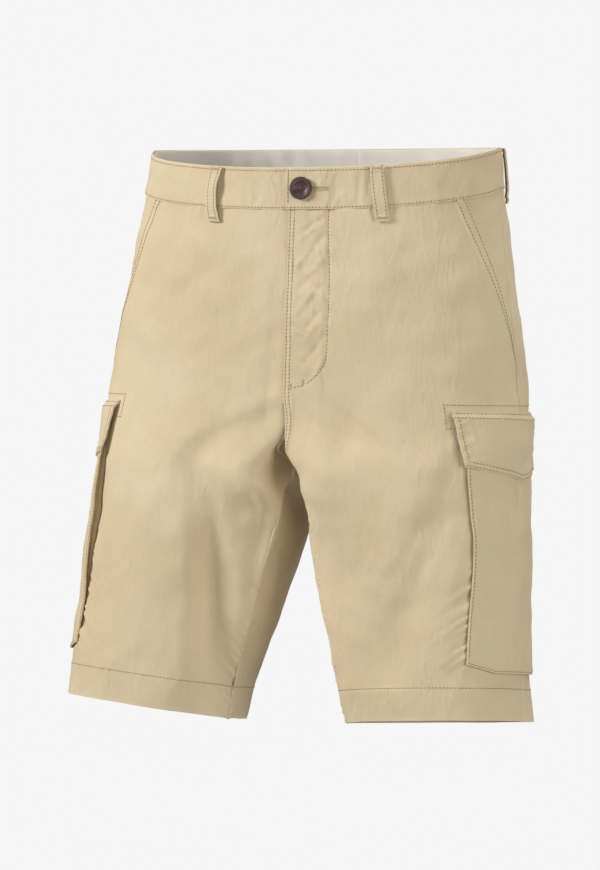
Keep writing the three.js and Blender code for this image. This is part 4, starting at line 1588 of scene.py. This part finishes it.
view = {"turn": 19, "distance": 2.6, "eyeHeight": -0.06, "aim": (-0.022, -0.259), "pixelsPerMetre": 1100,
        "frameHeight": 870, "sensor": 36, "far": 60}
lights = {
    "key": {"at": (-2.4, -1.9, 1.1), "size": 0.9, "power": 92, "colour": (1, 0.99, 0.97)},
    "front": {"at": (0.2, -3.2, -0.5), "size": 1.2, "power": 14, "colour": (1, 0.99, 0.97)},
    "fill": {"at": (2.9, -1.3, 0.0), "size": 1.6, "power": 48, "colour": (1, 0.99, 0.97)},
    "top": {"at": (0.2, 0.3, 2.4), "size": 2.0, "power": 26, "colour": (1, 1, 1)},
    "back": {"at": (0.8, 2.6, 1.0), "size": 2.0, "power": 30, "colour": (1, 1, 1)},
}
studio = {
    "middle": (0, 0, -0.27), "air": 0.14, "seenAir": 0.78, "warm": (1, 0.95, 0.86, 1),
    "floor": -1.15, "floorSize": 8,
    "floorColour": (0.86, 0.86, 0.86, 1), "glow": (0.92, 0.92, 0.92, 1), "glowAll": 0.12, "glowSeen": 0.88,
}


def addCamera():
    turn = math.radians(view["turn"])
    across, high = view["aim"]
    aim = Vector((across * math.cos(turn), across * math.sin(turn), high))
    tilt = math.asin((view["eyeHeight"] - aim.z) / view["distance"])
    back = Vector((math.sin(turn) * math.cos(tilt), -math.cos(turn) * math.cos(tilt), math.sin(tilt)))
    selectNone()
    bpy.ops.object.camera_add(location=aim + back * view["distance"])
    camera = bpy.context.active_object
    camera.rotation_euler = back.to_track_quat("Z", "Y").to_euler()
    camera.data.sensor_width = view["sensor"]
    camera.data.lens = view["pixelsPerMetre"] * view["distance"] / view["frameHeight"] * view["sensor"]
    camera.data.clip_end = view["far"]
    bpy.context.scene.camera = camera


def addLights():
    for name, light in lights.items():
        bpy.ops.object.light_add(type="AREA", location=light["at"])
        lamp = bpy.context.active_object
        lamp.name = name
        lamp.data.size = light["size"]
        lamp.data.energy = light["power"]
        lamp.data.color = light["colour"]
        toward = Vector(light["at"]) - Vector(studio["middle"])
        lamp.rotation_euler = toward.to_track_quat("Z", "Y").to_euler()
    world = bpy.data.worlds.new("studio")
    bpy.context.scene.world = world
    world.use_nodes = True
    tree = world.node_tree
    background = tree.nodes["Background"]
    seen = wire(tree, "ShaderNodeLightPath", "Is Camera Ray")
    (studio["air"] + seen * studio["seenAir"]).feed(background, "Strength")
    colourWire(tree, studio["warm"]).mix((1, 1, 1, 1), seen).feed(background, "Color")
    bpy.context.scene.view_settings.view_transform = "Standard"


# The floor glows a little, and far out all of it, so that it meets the background unseen.
def addFloor():
    selectNone()
    place, radius = (0, 0, studio["floor"]), studio["floorSize"]
    bpy.ops.mesh.primitive_circle_add(vertices=96, radius=radius, fill_type="NGON", location=place)
    floor = bpy.context.active_object
    floor.name = "studioFloor"
    bpy.ops.object.transform_apply(location=True, rotation=True, scale=True)
    material, tree, shader, body = newMaterial("studio floor", 0.9, specular=0.1)
    shader.inputs["Base Color"].default_value = studio["floorColour"]
    away = body.node("ShaderNodeVectorMath", {"operation": "LENGTH"}, {0: body}, 1)
    glow = tree.nodes.new("ShaderNodeEmission")
    glow.inputs["Color"].default_value = studio["glow"]
    seen = wire(tree, "ShaderNodeLightPath", "Is Camera Ray")
    (studio["glowAll"] + seen * studio["glowSeen"]).feed(glow, "Strength")
    factor = ((away - 1.2) * 0.7 + 0.55).clamp()
    surface = {0: factor, 1: Wire(tree, shader.outputs[0]), 2: Wire(tree, glow.outputs[0])}
    factor.node("ShaderNodeMixShader", {}, surface).feed(tree.nodes["Material Output"], "Surface")
    floor.data.materials.append(material)


addCamera()
addLights()
addFloor()
print("camera, lights and floor")
for side in sides:
    legPanel(side, -1)
    legPanel(side, 1)
    hipPocket(side)
    halfBand(side)
    waistLining(side)
    pocketFace(side)
    pocketGusset(side)
    pocketFlap(side)
for node, look in loopPlaces.items():
    beltLoop(node, look)
panelSewing()
buttonHole()
waistButton()
for group, name in (("panels", "panelStitches"), ("band", "bandStitches"), ("pockets", "pocketStitches"),
                    ("loops", "loopStitches"), ("button", "buttonThread")):
    makeStitches(group, name)
